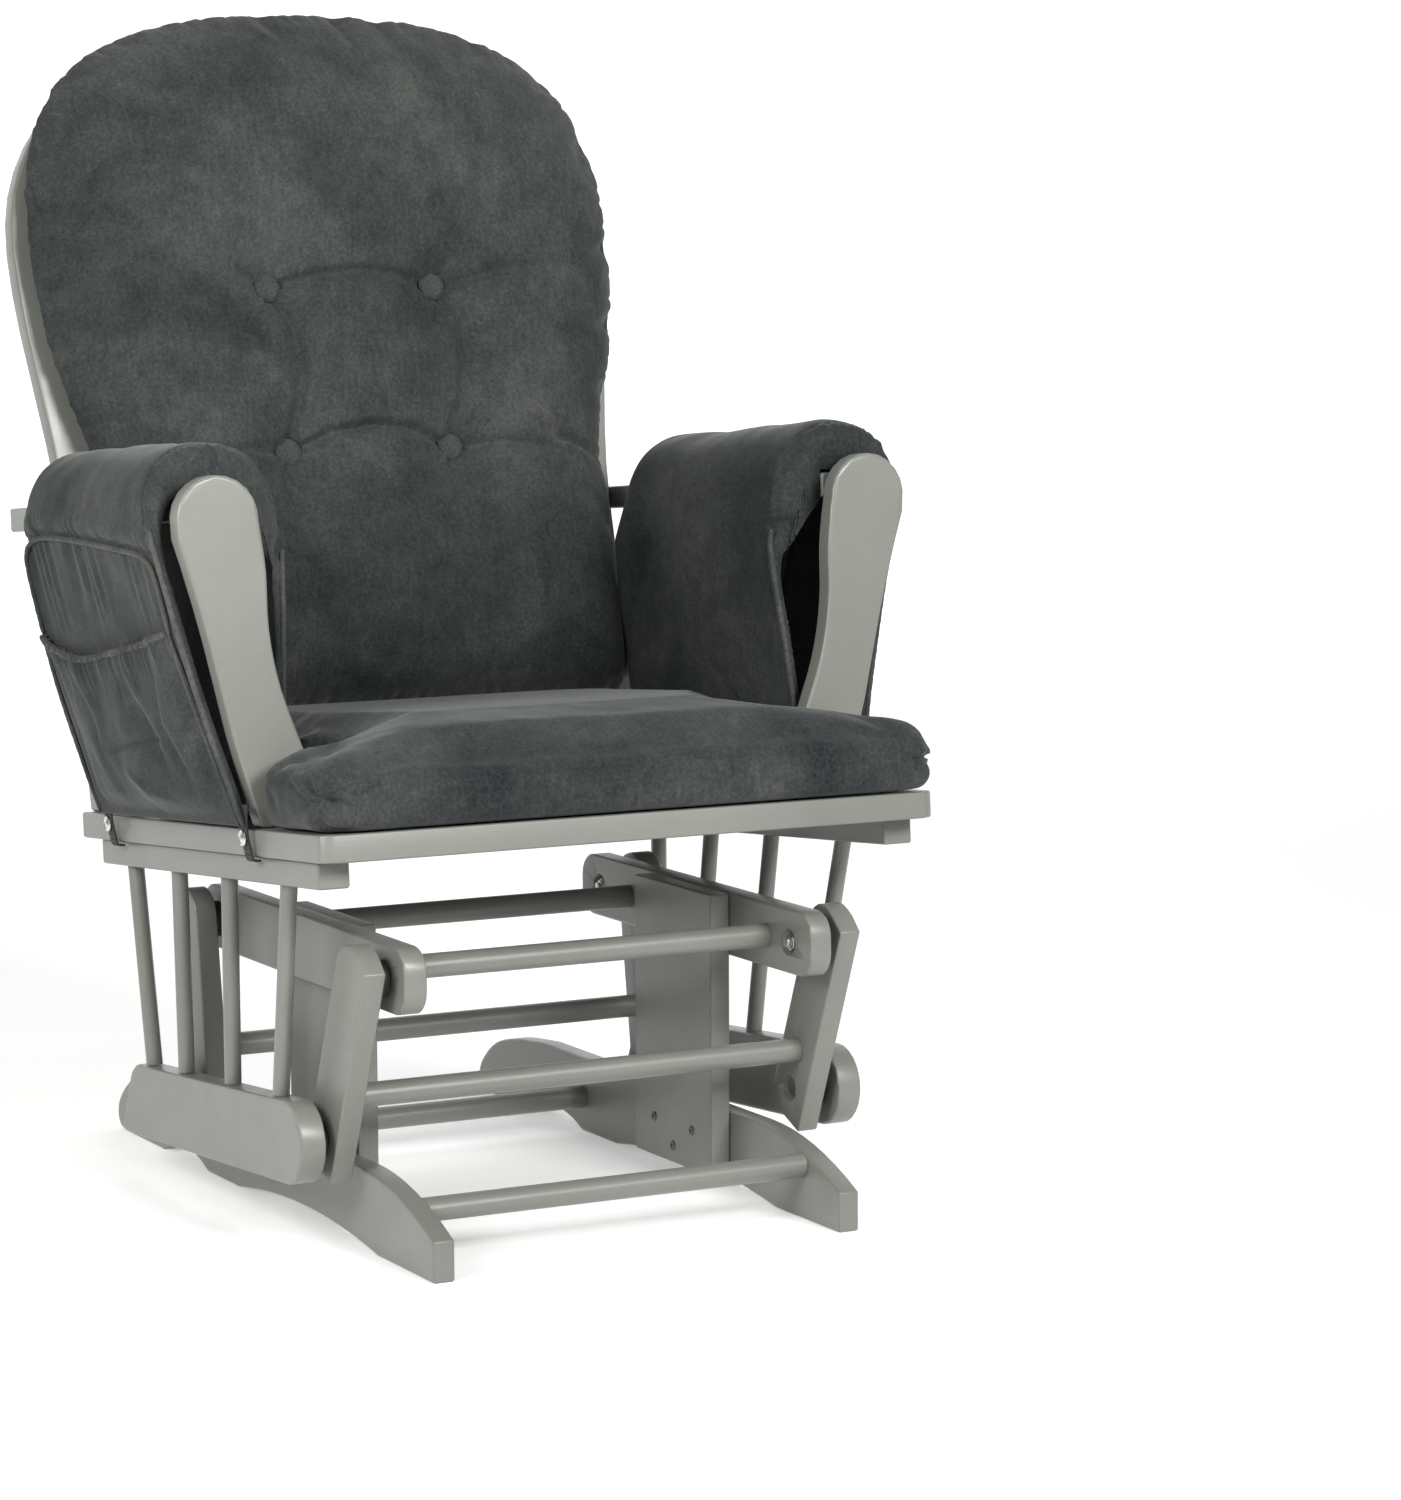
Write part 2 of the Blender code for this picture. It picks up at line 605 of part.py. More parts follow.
def build_back(parent):
    """The hoop, with a lower rail and four slats between its sides."""
    plane = leaning_plane(BACK_FOOT, BACK_TILT)
    hoop = board("back_hoop", hoop_arch(0.0) + list(reversed(hoop_arch(HOOP_WIDTH))), HOOP_THICK,
                 plane, parent, edge=0.002)
    trim_to_seat(hoop)
    reach = HOOP_LEG_HALF - HOOP_WIDTH - GAP
    block("back_rail", (-reach, BACK_RAIL_LOW, -0.009), (reach, BACK_RAIL_HIGH, 0.009), plane, parent)
    for number, middle in enumerate(SLAT_CENTRES, 1):
        left, right = middle - SLAT_HALF_WIDTH, middle + SLAT_HALF_WIDTH
        top = [(x, crown_height(x, HOOP_WIDTH) - SLAT_TOP_GAP) for x in (right, left)]
        outline = [(left, BACK_RAIL_HIGH + GAP), (right, BACK_RAIL_HIGH + GAP)] + top
        board(f"back_slat_{number}", outline, SLAT_THICK, plane, parent)


# Cushions -------------------------------------------------------------------------------------


def mirrored(half):
    """A closed outline from its right half, listed from one end of the centre line to the other."""
    return half + [(-x, y) for x, y in reversed(half)]


def inset_outline(outline, amount):
    """A closed anticlockwise outline, moved inward."""
    result = []
    for index, point in enumerate(outline):
        before = Vector(outline[index - 1])
        after = Vector(outline[(index + 1) % len(outline)])
        along = (after - before).normalized()
        result.append(tuple(Vector(point) + Vector((-along.y, along.x)) * amount))
    return result


def hollow_cover(obj, outline, thickness, bevel, plane, parent):
    """Leaves only a cover round the filling, open at a long zip on the side that faces the hoop."""
    inside = flat_mesh(obj.name + " filling", inset_outline(outline, COVER_THICK),
                       thickness - 2 * COVER_THICK)
    bevel_edges(cut_with(obj, inside, plane, parent), bevel - COVER_THICK, 2)
    solid = bmesh.new()
    bmesh.ops.create_cube(solid, size=1.0)
    bmesh.ops.scale(solid, vec=(2 * ZIP_HALF_LENGTH, ZIP_WIDTH, thickness), verts=solid.verts)
    zip_mesh = bpy.data.meshes.new(obj.name + " zip")
    solid.to_mesh(zip_mesh)
    solid.free()
    cut_with(obj, zip_mesh, plane @ Matrix.Translation((0.0, ZIP_HEIGHT, -thickness / 2)), parent)


def build_cushions(parent):
    """The seat cushion, the back cushion's cover and the two padded arm covers."""
    seat = mirrored(arc((0.238, 0.022), 0.034, -90, 0, 5) + arc((0.252, 0.106), 0.020, 0, 90, 4)
                    + [(0.196, 0.128), (0.196, 0.158), (0.222, 0.166)]
                    + arc((0.202, 0.468), 0.020, 0, 90, 3))
    board("seat_cushion", seat, CUSHION_TOP - CUSHION_GAP, seat_plan((CUSHION_TOP + CUSHION_GAP) / 2),
          parent, "fabric", edge=0.012, segments=2)
    back = mirrored([(0.205, 0.061), (0.226, 0.083), (0.226, 0.280), (0.236, 0.306)]
                    + smooth_path([(0.262, 0.345), (0.271, 0.430), (0.271, 0.520), (0.250, 0.598),
                                   (0.200, 0.648), (0.110, 0.682), (0.030, 0.690)], 3))
    clear = HOOP_THICK / 2 + CUSHION_GAP
    thickness, bevel = BACK_CUSHION_FRONT - clear, 0.012
    plane = leaning_plane(BACK_FOOT, BACK_TILT, (BACK_CUSHION_FRONT + clear) / 2)
    cushion = board("back_cushion", back, thickness, plane, parent, "fabric", edge=bevel, segments=2)
    hollow_cover(cushion, back, thickness, bevel, plane, parent)
    section = [(0.277, 0.002), (0.304, 0.110), (0.328, 0.210), (0.333, 0.250), (0.324, 0.284),
               (0.300, 0.298), (0.262, 0.298), (0.240, 0.286), (0.228, 0.262), (0.2245, 0.225),
               (0.2275, 0.150), (0.2315, 0.050), (0.2425, 0.050), (0.2385, 0.150), (0.2355, 0.214),
               (0.2570, 0.222), (0.2595, 0.262),
               (0.2995, 0.262), (0.301, 0.236), (0.313, 0.205), (0.291, 0.110), (0.264, 0.002)]
    lift_y, lift_z = seat_point((PAD_START + PAD_END) / 2, 0.0)
    for side, sign in SIDES:
        board("arm_pad_" + side, [(sign * x, y) for x, y in section], PAD_END - PAD_START,
              leaning_plane((lift_y, lift_z), SEAT_TILT), parent, "fabric", edge=0.003)


# Assembly -------------------------------------------------------------------------------------

clear_scene()
CHAIR = bpy.data.collections.new("glider_nursery_chair")
CUTTERS = bpy.data.collections.new("cutters")
bpy.context.scene.collection.children.link(CHAIR)
bpy.context.scene.collection.children.link(CUTTERS)
ORIGIN = bpy.data.objects.new("runner_tip", None)
CHAIR.objects.link(ORIGIN)
ORIGIN.location = (0.0, -MIDDLE_Y, 0.0)
bpy.context.view_layer.update()


def main():
    """Builds the chair from the floor up, each body under the empty it swings on."""
    front_axis = empty_at("front_hanger_axis", FRONT_TOP, ORIGIN)
    rear_axis = empty_at("rear_hanger_axis", REAR_TOP, ORIGIN)
    seat_axis = empty_at("seat_axis", FRONT_LOW, front_axis)
    build_base(ORIGIN)
    build_hanger_pair("front", FRONT_TOP, FRONT_LOW, -1, BOLT_BORE, front_axis, seat_axis)
    build_hanger_pair("rear", REAR_TOP, REAR_LOW, 1, OPEN_BORE, rear_axis, seat_axis)
    build_seat_frame(seat_axis)
    build_arms(seat_axis)
    build_back(seat_axis)
    build_cushions(seat_axis)


main()
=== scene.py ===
"""Looks of the glider nursery chair: painted wood, steel fasteners and charcoal microsuede.

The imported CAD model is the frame. The cushions and arm covers are built here in two directions of
their own: the seat's (x sideways, v back along the board, w above it) and the back's (x sideways,
h up the lean, o forward of the hoop). Everything is in metres.
"""
import math

import bmesh
import bpy
import numpy as np
from mathutils import Matrix, Vector, noise


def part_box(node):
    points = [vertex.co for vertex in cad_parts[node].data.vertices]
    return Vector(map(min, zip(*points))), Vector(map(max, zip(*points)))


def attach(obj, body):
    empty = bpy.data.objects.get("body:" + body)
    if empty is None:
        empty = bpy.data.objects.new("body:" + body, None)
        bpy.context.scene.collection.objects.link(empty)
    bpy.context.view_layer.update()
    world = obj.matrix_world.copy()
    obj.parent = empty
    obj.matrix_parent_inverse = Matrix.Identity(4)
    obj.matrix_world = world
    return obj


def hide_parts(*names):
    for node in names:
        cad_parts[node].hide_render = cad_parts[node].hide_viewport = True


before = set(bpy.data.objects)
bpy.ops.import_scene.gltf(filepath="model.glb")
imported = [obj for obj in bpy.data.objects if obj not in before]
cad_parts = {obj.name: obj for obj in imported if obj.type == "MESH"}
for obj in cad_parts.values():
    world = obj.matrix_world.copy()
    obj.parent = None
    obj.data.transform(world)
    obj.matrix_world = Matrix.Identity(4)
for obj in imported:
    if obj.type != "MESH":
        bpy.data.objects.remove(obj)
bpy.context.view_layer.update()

# Frames of reference -----------------------------------------------------------

SEAT_TILT = math.radians(4.75)
BACK_TILT = math.radians(15.0)
BOARD_THICK = 0.0216
HOOP_TOP = 0.690
HOOP_HALF_THICK = 0.010

BOARD_LOW, BOARD_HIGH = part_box("seat_board")
_, HOOP_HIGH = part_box("back_hoop")
SEAT_FRONT = (BOARD_LOW.y + BOARD_THICK * math.sin(SEAT_TILT), BOARD_HIGH.z)
BACK_FOOT = (
    HOOP_HIGH.y - HOOP_TOP * math.sin(BACK_TILT) - HOOP_HALF_THICK * math.cos(BACK_TILT),
    HOOP_HIGH.z - HOOP_TOP * math.cos(BACK_TILT) - HOOP_HALF_THICK * math.sin(BACK_TILT),
)
SIDES = (("left", 1), ("right", -1))
MERGE = 0.00002              # points closer than this are one


def seat_to_world(x, v, w):
    """Points given sideways, along the seat board and above it, as an array of world points."""
    cosine, sine = math.cos(SEAT_TILT), math.sin(SEAT_TILT)
    x, v, w = np.broadcast_arrays(x, v, w)
    return np.stack([x, SEAT_FRONT[0] + v * cosine + w * sine,
                     SEAT_FRONT[1] - v * sine + w * cosine], -1)


def back_to_world(x, h, o):
    """Points given sideways, up the back and forward of the hoop, as an array of world points."""
    cosine, sine = math.cos(BACK_TILT), math.sin(BACK_TILT)
    x, h, o = np.broadcast_arrays(x, h, o)
    return np.stack([x, BACK_FOOT[0] + h * sine - o * cosine,
                     BACK_FOOT[1] + h * cosine + o * sine], -1)


def world_to_seat(points):
    """The seat's x, v and w of world points."""
    cosine, sine = math.cos(SEAT_TILT), math.sin(SEAT_TILT)
    dy, dz = points[:, 1] - SEAT_FRONT[0], points[:, 2] - SEAT_FRONT[1]
    return points[:, 0], dy * cosine - dz * sine, dy * sine + dz * cosine


def world_to_back(points):
    """The back's x, h and o of world points."""
    cosine, sine = math.cos(BACK_TILT), math.sin(BACK_TILT)
    dy, dz = points[:, 1] - BACK_FOOT[0], points[:, 2] - BACK_FOOT[1]
    return points[:, 0], dy * sine + dz * cosine, dz * sine - dy * cosine


# Small maths -------------------------------------------------------------------


def smoothstep(value, low=0.0, high=1.0):
    """Rises smoothly from 0 at the low value to 1 at the high one."""
    t = np.clip((np.asarray(value, float) - low) / (high - low), 0.0, 1.0)
    return t * t * (3.0 - 2.0 * t)


def smooth_curve(points, count):
    """Points spaced evenly along a smooth curve through the given ones (Catmull-Rom)."""
    given = np.asarray(points, float)
    padded = np.vstack([2 * given[0] - given[1], given, 2 * given[-1] - given[-2]])
    fine = []
    for a, b, c, d in zip(padded, padded[1:], padded[2:], padded[3:]):
        for t in np.linspace(0.0, 1.0, 24, endpoint=False):
            fine.append(0.5 * (2 * b + (c - a) * t + (2 * a - 5 * b + 4 * c - d) * t * t
                               + (3 * b - a - 3 * c + d) * t ** 3))
    fine.append(given[-1])
    fine = np.array(fine)
    length = np.concatenate([[0.0], np.cumsum(np.linalg.norm(np.diff(fine, axis=0), axis=1))])
    at = np.linspace(0.0, length[-1], count)
    return np.stack([np.interp(at, length, fine[:, k]) for k in range(fine.shape[1])], -1)


def polyline_distance(px, py, line):
    """Distance of each point from a polyline, the share along it, and the side it is on."""
    best = np.full(px.shape, 1e9)
    share = np.zeros(px.shape)
    side = np.ones(px.shape)
    steps = len(line) - 1
    for k in range(steps):
        ax, ay = line[k]
        bx, by = line[k + 1]
        dx, dy = bx - ax, by - ay
        t = np.clip(((px - ax) * dx + (py - ay) * dy) / (dx * dx + dy * dy), 0.0, 1.0)
        ex, ey = px - ax - t * dx, py - ay - t * dy
        d = np.hypot(ex, ey)
        near = d < best
        best = np.where(near, d, best)
        share = np.where(near, (k + t) / steps, share)
        side = np.where(near, np.sign(dx * (py - ay) - dy * (px - ax)), side)
    return best, share, side


def noise_at(points, scale, seed=0.0):
    """Smooth noise from -1 to 1 at each point."""
    return np.array([noise.noise(Vector(p) * scale + Vector((seed, 2.7 * seed, -seed)))
                     for p in points])


# Mesh helpers ------------------------------------------------------------------


def link(name, data):
    """A new object in the scene."""
    obj = bpy.data.objects.new(name, data)
    bpy.context.scene.collection.objects.link(obj)
    return obj


def add_object(name, vertices, faces, material, smooth=True):
    """A mesh object with its faces turned outward and its material set."""
    mesh = bpy.data.meshes.new(name)
    mesh.from_pydata([tuple(v) for v in vertices], [], faces)
    work = bmesh.new()
    work.from_mesh(mesh)
    bmesh.ops.remove_doubles(work, verts=work.verts, dist=MERGE)
    bmesh.ops.recalc_face_normals(work, faces=work.faces)
    work.to_mesh(mesh)
    work.free()
    if smooth:
        mesh.shade_smooth()
    mesh.materials.append(material)
    return link(name, mesh)


def grid_faces(rows, columns, start=0, wrap=False):
    """Quads of a grid of points stored row by row; wrap joins the last column to the first."""
    faces = []
    for i in range(rows - 1):
        for j in range(columns if wrap else columns - 1):
            k = (j + 1) % columns
            faces.append((start + i * columns + j, start + i * columns + k,
                          start + (i + 1) * columns + k, start + (i + 1) * columns + j))
    return faces


def shell(name, outer, inner, material):
    """A closed cloth shell between two grids of points of the same size."""
    rows, columns = outer.shape[:2]
    vertices = np.vstack([outer.reshape(-1, 3), inner.reshape(-1, 3)])
    second = rows * columns
    faces = grid_faces(rows, columns) + [f[::-1] for f in grid_faces(rows, columns, second)]
    border = list(range(columns))
    border += [i * columns + columns - 1 for i in range(1, rows)]
    border += [(rows - 1) * columns + j for j in range(columns - 2, -1, -1)]
    border += [i * columns for i in range(rows - 2, 0, -1)]
    for a, b in zip(border, border[1:] + border[:1]):
        faces.append((a, b, b + second, a + second))
    return add_object(name, vertices, faces, material)


def tube(name, path, radius, material, sides=8, wobble=0.0):
    """A round cord of sewn cloth along a path of points, with domed ends."""
    path = np.asarray(path, float)
    count = len(path)
    tangent = np.gradient(path, axis=0)
    tangent /= np.linalg.norm(tangent, axis=1)[:, None]
    normal = np.cross(tangent[0], (0.3, 0.2, 0.9))
    rings = []
    for k in range(count):
        normal = normal - tangent[k] * (normal @ tangent[k])
        normal /= np.linalg.norm(normal)
        other = np.cross(tangent[k], normal)
        dome = min(1.0, 0.45 + 0.4 * min(k, count - 1 - k))
        size = radius * (1 + wobble * math.sin(k * 1.9) * math.sin(k * 0.7)) * dome
        for s in range(sides):
            angle = 2 * math.pi * s / sides
            rings.append(path[k] + size * (math.cos(angle) * normal + math.sin(angle) * other))
    faces = grid_faces(count, sides, wrap=True)
    faces += [tuple(range(sides)), tuple((count - 1) * sides + s for s in range(sides))]
    return add_object(name, rings, faces, material)


def turned_piece(name, profile, place, material, sides=24):
    """A lathed piece: the profile's (radius, height) pairs run from axis to axis."""
    vertices, faces, rings = [], [], []
    for radius, height in profile:
        if radius < 1e-6:
            rings.append([len(vertices)])
            vertices.append((0.0, 0.0, height))
        else:
            rings.append(list(range(len(vertices), len(vertices) + sides)))
            vertices += [(radius * math.cos(2 * math.pi * s / sides),
                          radius * math.sin(2 * math.pi * s / sides), height) for s in range(sides)]
    for low, high in zip(rings, rings[1:]):
        for s in range(sides):
            t = (s + 1) % sides
            face = [low[s % len(low)], low[t % len(low)], high[t % len(high)], high[s % len(high)]]
            faces.append(tuple(dict.fromkeys(face)))
    obj = add_object(name, vertices, faces, material)
    obj.data.set_sharp_from_angle(angle=math.radians(35))
    obj.matrix_world = place
    return obj


def facing(point, direction):
    """A placement at a point with its own Z along a direction."""
    turn = Vector(direction).to_track_quat("Z", "Y").to_matrix().to_4x4()
    return Matrix.Translation(Vector(point)) @ turn


def join(name, objects):
    """Joins small steel pieces into one object."""
    bpy.context.view_layer.update()
    joined = bmesh.new()
    for obj in objects:
        obj.data.transform(obj.matrix_world)
        joined.from_mesh(obj.data)
        bpy.data.objects.remove(obj, do_unlink=True)
    mesh = bpy.data.meshes.new(name)
    joined.to_mesh(mesh)
    joined.free()
    mesh.materials.append(STEEL)
    return link(name, mesh)


def vertex_array(mesh, field="co"):
    """A mesh's points, or its point normals, as an array."""
    data = np.zeros(len(mesh.vertices) * 3)
    mesh.vertices.foreach_get(field, data)
    return data.reshape(-1, 3)


def set_vertices(mesh, points):
    """Moves a mesh's points."""
    mesh.vertices.foreach_set("co", np.asarray(points, np.float32).ravel())
    mesh.update()


def evaluated(obj):
    """Applies every modifier of an object to its mesh."""
    bpy.context.view_layer.update()
    graph = bpy.context.evaluated_depsgraph_get()
    mesh = bpy.data.meshes.new_from_object(obj.evaluated_get(graph))
    mesh.name = obj.name
    obj.modifiers.clear()
    obj.data = mesh


def remesh(obj, voxel):
    """Rebuilds a closed piece as an even cloth mesh."""
    modifier = obj.modifiers.new("remesh", "REMESH")
    modifier.mode = "VOXEL"
    modifier.voxel_size = voxel
    modifier.use_smooth_shade = True
    evaluated(obj)


def smooth_mesh(obj, turns):
    """Evens a mesh out."""
    modifier = obj.modifiers.new("smooth", "SMOOTH")
    modifier.iterations = turns
    modifier.factor = 0.5
    evaluated(obj)


def subdivide(obj):
    """Makes a mesh twice as fine."""
    modifier = obj.modifiers.new("finer", "SUBSURF")
    modifier.levels = modifier.render_levels = 1
    evaluated(obj)
    obj.data.shade_smooth()


def inflate(obj, hold, cap, pressure, frames=20):
    """Blows a closed cloth up like a filled cover; hold gives each point's pin weight."""
    start = vertex_array(obj.data)
    group = obj.vertex_groups.new(name="hold")
    for index, weight in enumerate(hold(start)):
        if weight > 0.01:
            group.add([index], float(weight), "REPLACE")
    cloth = obj.modifiers.new("cloth", "CLOTH")
    cloth.settings.quality = 5
    cloth.settings.mass = 0.3
    cloth.settings.tension_stiffness = 14
    cloth.settings.compression_stiffness = 10
    cloth.settings.shear_stiffness = 5
    cloth.settings.bending_stiffness = 0.4
    cloth.settings.use_pressure = True
    cloth.settings.uniform_pressure_force = pressure
    cloth.settings.effector_weights.gravity = 0
    cloth.settings.vertex_group_mass = "hold"
    cloth.settings.pin_stiffness = 1.0
    cloth.collision_settings.use_collision = False
    cloth.point_cache.frame_start = 1
    cloth.point_cache.frame_end = frames
    scene = bpy.context.scene
    for step in range(1, frames + 1):
        scene.frame_set(step)
    graph = bpy.context.evaluated_depsgraph_get()
    blown = bpy.data.meshes.new_from_object(obj.evaluated_get(graph))
    moved = vertex_array(blown) - start
    length = np.linalg.norm(moved, axis=1)
    moved *= np.minimum(1.0, cap / np.maximum(length, 1e-9))[:, None]
    obj.modifiers.clear()
    obj.vertex_groups.clear()
    set_vertices(obj.data, start + moved)
    scene.frame_set(1)


# Materials ---------------------------------------------------------------------


class Nodes:
    """Shorthand for building a material's node tree."""

    def __init__(self, name):
        self.material = bpy.data.materials.new(name)
        self.material.use_nodes = True
        self.tree = self.material.node_tree
        self.shader = self.tree.nodes["Principled BSDF"]
        self.object = self.add("ShaderNodeTexCoord").outputs["Object"]

    def add(self, kind, **inputs):
        node = self.tree.nodes.new(kind)
        for key, value in inputs.items():
            self.feed(node, key.replace("_", " "), value)
        return node

    def feed(self, node, socket, value):
        if isinstance(value, bpy.types.NodeSocket):
            self.tree.links.new(value, node.inputs[socket])
        else:
            node.inputs[socket].default_value = value

    def noise(self, scale, detail=3.0, roughness=0.55, stretch=None, distortion=0.0):
        place = self.object
        if stretch is not None:
            mapping = self.add("ShaderNodeMapping", Vector=place, Scale=stretch)
            place = mapping.outputs["Vector"]
        return self.add("ShaderNodeTexNoise", Vector=place, Scale=scale, Detail=detail,
                        Roughness=roughness, Distortion=distortion).outputs["Fac"]

    def ramp(self, value, stops):
        node = self.add("ShaderNodeValToRGB", Fac=value)
        elements = node.color_ramp.elements
        while len(elements) < len(stops):
            elements.new(0.5)
        for element, (position, colour) in zip(elements, stops):
            element.position = position
            element.color = (*colour, 1.0)
        return node.outputs["Color"]

    def math(self, operation, a, b):
        node = self.tree.nodes.new("ShaderNodeMath")
        node.operation = operation
        self.feed(node, 0, a)
        self.feed(node, 1, b)
        return node.outputs[0]

    def span(self, value, low, high):
        """Moves a 0 to 1 value into a range."""
        node = self.add("ShaderNodeMapRange", Value=value)
        node.inputs["To Min"].default_value = low
        node.inputs["To Max"].default_value = high
        return node.outputs["Result"]

    def mix(self, factor, a, b):
        node = self.tree.nodes.new("ShaderNodeMix")
        node.data_type = "RGBA"
        self.feed(node, 0, factor)
        for index, value in ((6, a), (7, b)):
            plain = not isinstance(value, bpy.types.NodeSocket)
            self.feed(node, index, (*value, 1.0) if plain else value)
        return node.outputs[2]

    def bump(self, height, strength, distance, normal=None):
        node = self.add("ShaderNodeBump", Height=height, Strength=strength, Distance=distance)
        if normal is not None:
            self.tree.links.new(normal, node.inputs["Normal"])
        return node.outputs["Normal"]

    def finish(self, **inputs):
        for key, value in inputs.items():
            self.feed(self.shader, key.replace("_", " "), value)
        return self.material


def painted_wood(name, along):
    """Satin grey paint over wood whose grain runs along one axis."""
    n = Nodes(name)
    stretch = [34.0, 34.0, 34.0]
    stretch[along] = 2.2
    grain = n.noise(6.0, 4.0, 0.6, stretch=tuple(stretch), distortion=0.4)
    cloud = n.noise(5.0, 3.0)
    speck = n.noise(420.0, 2.0)
    colour = n.ramp(cloud, [(0.30, (0.150, 0.157, 0.141)), (0.70, (0.178, 0.186, 0.168))])
    colour = n.mix(n.span(grain, 0.0, 0.18), colour, (0.115, 0.120, 0.105))
    colour = n.mix(n.span(speck, -0.05, 0.12), colour, (0.25, 0.26, 0.24))
    rough = n.span(n.noise(28.0, 4.0), 0.30, 0.48)
    peel = n.bump(n.noise(260.0, 2.0), 0.10, 0.0004)
    normal = n.bump(grain, 0.16, 0.0006, peel)
    return n.finish(Base_Color=colour, Roughness=rough, Normal=normal, Coat_Weight=0.18,
                    Coat_Roughness=0.28)


def microsuede(name, dark=(0.0085, 0.0125, 0.0145), light=(0.064, 0.0675, 0.0630)):
    """Brushed charcoal microsuede: mottled nap, fine fibres and a soft sheen."""
    n = Nodes(name)
    cloud = n.noise(5.0, 5.0, 0.62, distortion=0.5)
    patch = n.noise(24.0, 4.0, 0.65, distortion=0.8)
    brush = n.noise(12.0, 4.0, 0.6, stretch=(22.0, 5.0, 4.0), distortion=0.3)
    fibre = n.noise(900.0, 2.0, 0.7)
    fleck = n.noise(330.0, 3.0, 0.75)
    nap = n.math("ADD", n.math("MULTIPLY", cloud, 0.46), n.math("MULTIPLY", patch, 0.20))
    nap = n.math("ADD", nap, n.math("MULTIPLY", brush, 0.12))
    nap = n.math("ADD", nap, n.math("MULTIPLY", fleck, 0.32))
    middle = tuple(0.60 * a + 0.40 * b for a, b in zip(dark, light))
    colour = n.ramp(nap, [(0.42, dark), (0.56, middle), (0.70, light)])
    rough = n.span(patch, 0.78, 0.98)
    fuzz = n.bump(fibre, 0.35, 0.0006)
    soft = n.bump(patch, 0.18, 0.0022, fuzz)
    return n.finish(Base_Color=colour, Roughness=rough, Normal=soft, Sheen_Weight=0.16,
                    Sheen_Roughness=0.40, Sheen_Tint=(0.80, 0.84, 0.82, 1.0),
                    Specular_IOR_Level=0.12)


def steel_finish(name, base=(0.52, 0.50, 0.47), roughness=(0.22, 0.42)):
    """Zinc-plated steel, turned and slightly dulled."""
    n = Nodes(name)
    cloud = n.noise(180.0, 4.0)
    colour = n.ramp(cloud, [(0.3, tuple(c * 0.72 for c in base)), (0.7, base)])
    turned = n.noise(900.0, 2.0, stretch=(1.0, 0.2, 0.2))
    return n.finish(Base_Color=colour, Roughness=n.span(cloud, *roughness), Metallic=1.0,
                    Normal=n.bump(turned, 0.12, 0.0002))


def black_plastic(name):
    """Moulded black nylon."""
    n = Nodes(name)
    cloud = n.noise(60.0, 3.0)
    colour = n.ramp(cloud, [(0.3, (0.012, 0.012, 0.012)), (0.7, (0.028, 0.028, 0.027))])
    return n.finish(Base_Color=colour, Roughness=n.span(cloud, 0.42, 0.62),
                    Normal=n.bump(n.noise(700.0, 2.0), 0.2, 0.0002))


def webbing(name):
    """Black woven elastic strap."""
    n = Nodes(name)
    wave = n.add("ShaderNodeTexWave", Vector=n.object, Scale=420.0, Distortion=1.2, Detail=2.0)
    rib = wave.outputs["Fac"]
    colour = n.ramp(rib, [(0.2, (0.010, 0.010, 0.011)), (0.8, (0.034, 0.034, 0.036))])
    return n.finish(Base_Color=colour, Roughness=n.span(n.noise(80.0), 0.7, 0.9),
                    Normal=n.bump(rib, 0.4, 0.0004))


PAINT = [painted_wood("grey_paint_" + axis, k) for k, axis in enumerate("xyz")]
SUEDE = microsuede("microsuede")
# A lighter copy of the same microsuede for the buttons, the pocket mouth, the piping and the hems: painted
# highlight on the raised trim
SUEDE_PAINTED_HIGHLIGHT = microsuede("microsuede_painted_highlight", dark=(0.018, 0.021, 0.022), light=(0.095, 0.099, 0.094))
STEEL = steel_finish("steel")
BRIGHT_STEEL = steel_finish("snap_metal", (0.72, 0.70, 0.66), (0.12, 0.28))
DARK_STEEL = steel_finish("screw_metal", (0.16, 0.155, 0.15), (0.35, 0.5))
PLASTIC = black_plastic("bearing_plastic")
STRAP = webbing("strap_webbing")

# The wood and the fasteners keep their CAD shapes ------------------------------


def finish_frame():
    """Gives each CAD node its paint or metal, and smooth shading over its eased edges."""
    along_x = ("rail", "seat_board")
    along_y = ("runner", "base_arm", "swing_rail", "under_rail", "armrest")
    round_rails = ("front_rail", "rear_rail", "hanger_rail")
    for name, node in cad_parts.items():
        if "bolt" in name:
            material = STEEL
        elif "disc" in name:
            material = PLASTIC
        elif name.startswith(along_y):
            material = PAINT[1]
        elif name.endswith(along_x):
            material = PAINT[0]
        else:
            material = PAINT[2]
        node.data.materials.clear()
        node.data.materials.append(material)
        weld = node.modifiers.new("weld", "WELD")
        weld.merge_threshold = MERGE
        round_piece = name.startswith("spindle") or name.endswith(round_rails)
        node.data.shade_smooth()
        node.data.set_sharp_from_angle(angle=math.radians(40 if round_piece else 62))
        shade = node.modifiers.new("even edges", "WEIGHTED_NORMAL")
        shade.keep_sharp = True


# Back cushion ------------------------------------------------------------------

BACK_SEAM = 0.030            # how far forward of the hoop the edge seam runs
BACK_REAR = 0.0125           # where its rear side lies against the slats
BACK_CROWN = 0.100           # how far forward its filling stands
BACK_CENTRE = (0.0, 0.375)
AROUND = 220                 # points round its edge
BUTTONS = ((-0.078, 0.435), (0.078, 0.435), (-0.076, 0.290), (0.076, 0.290))
BETWEEN_ARMS = 0.2185        # half the width the arm covers leave for its lower part
BACK_FILLING = (0.014, 3.5)  # how far its cover may swell, and how hard it is filled
BACK_VOXEL = 0.0048          # size of its cloth mesh before it is made twice as fine


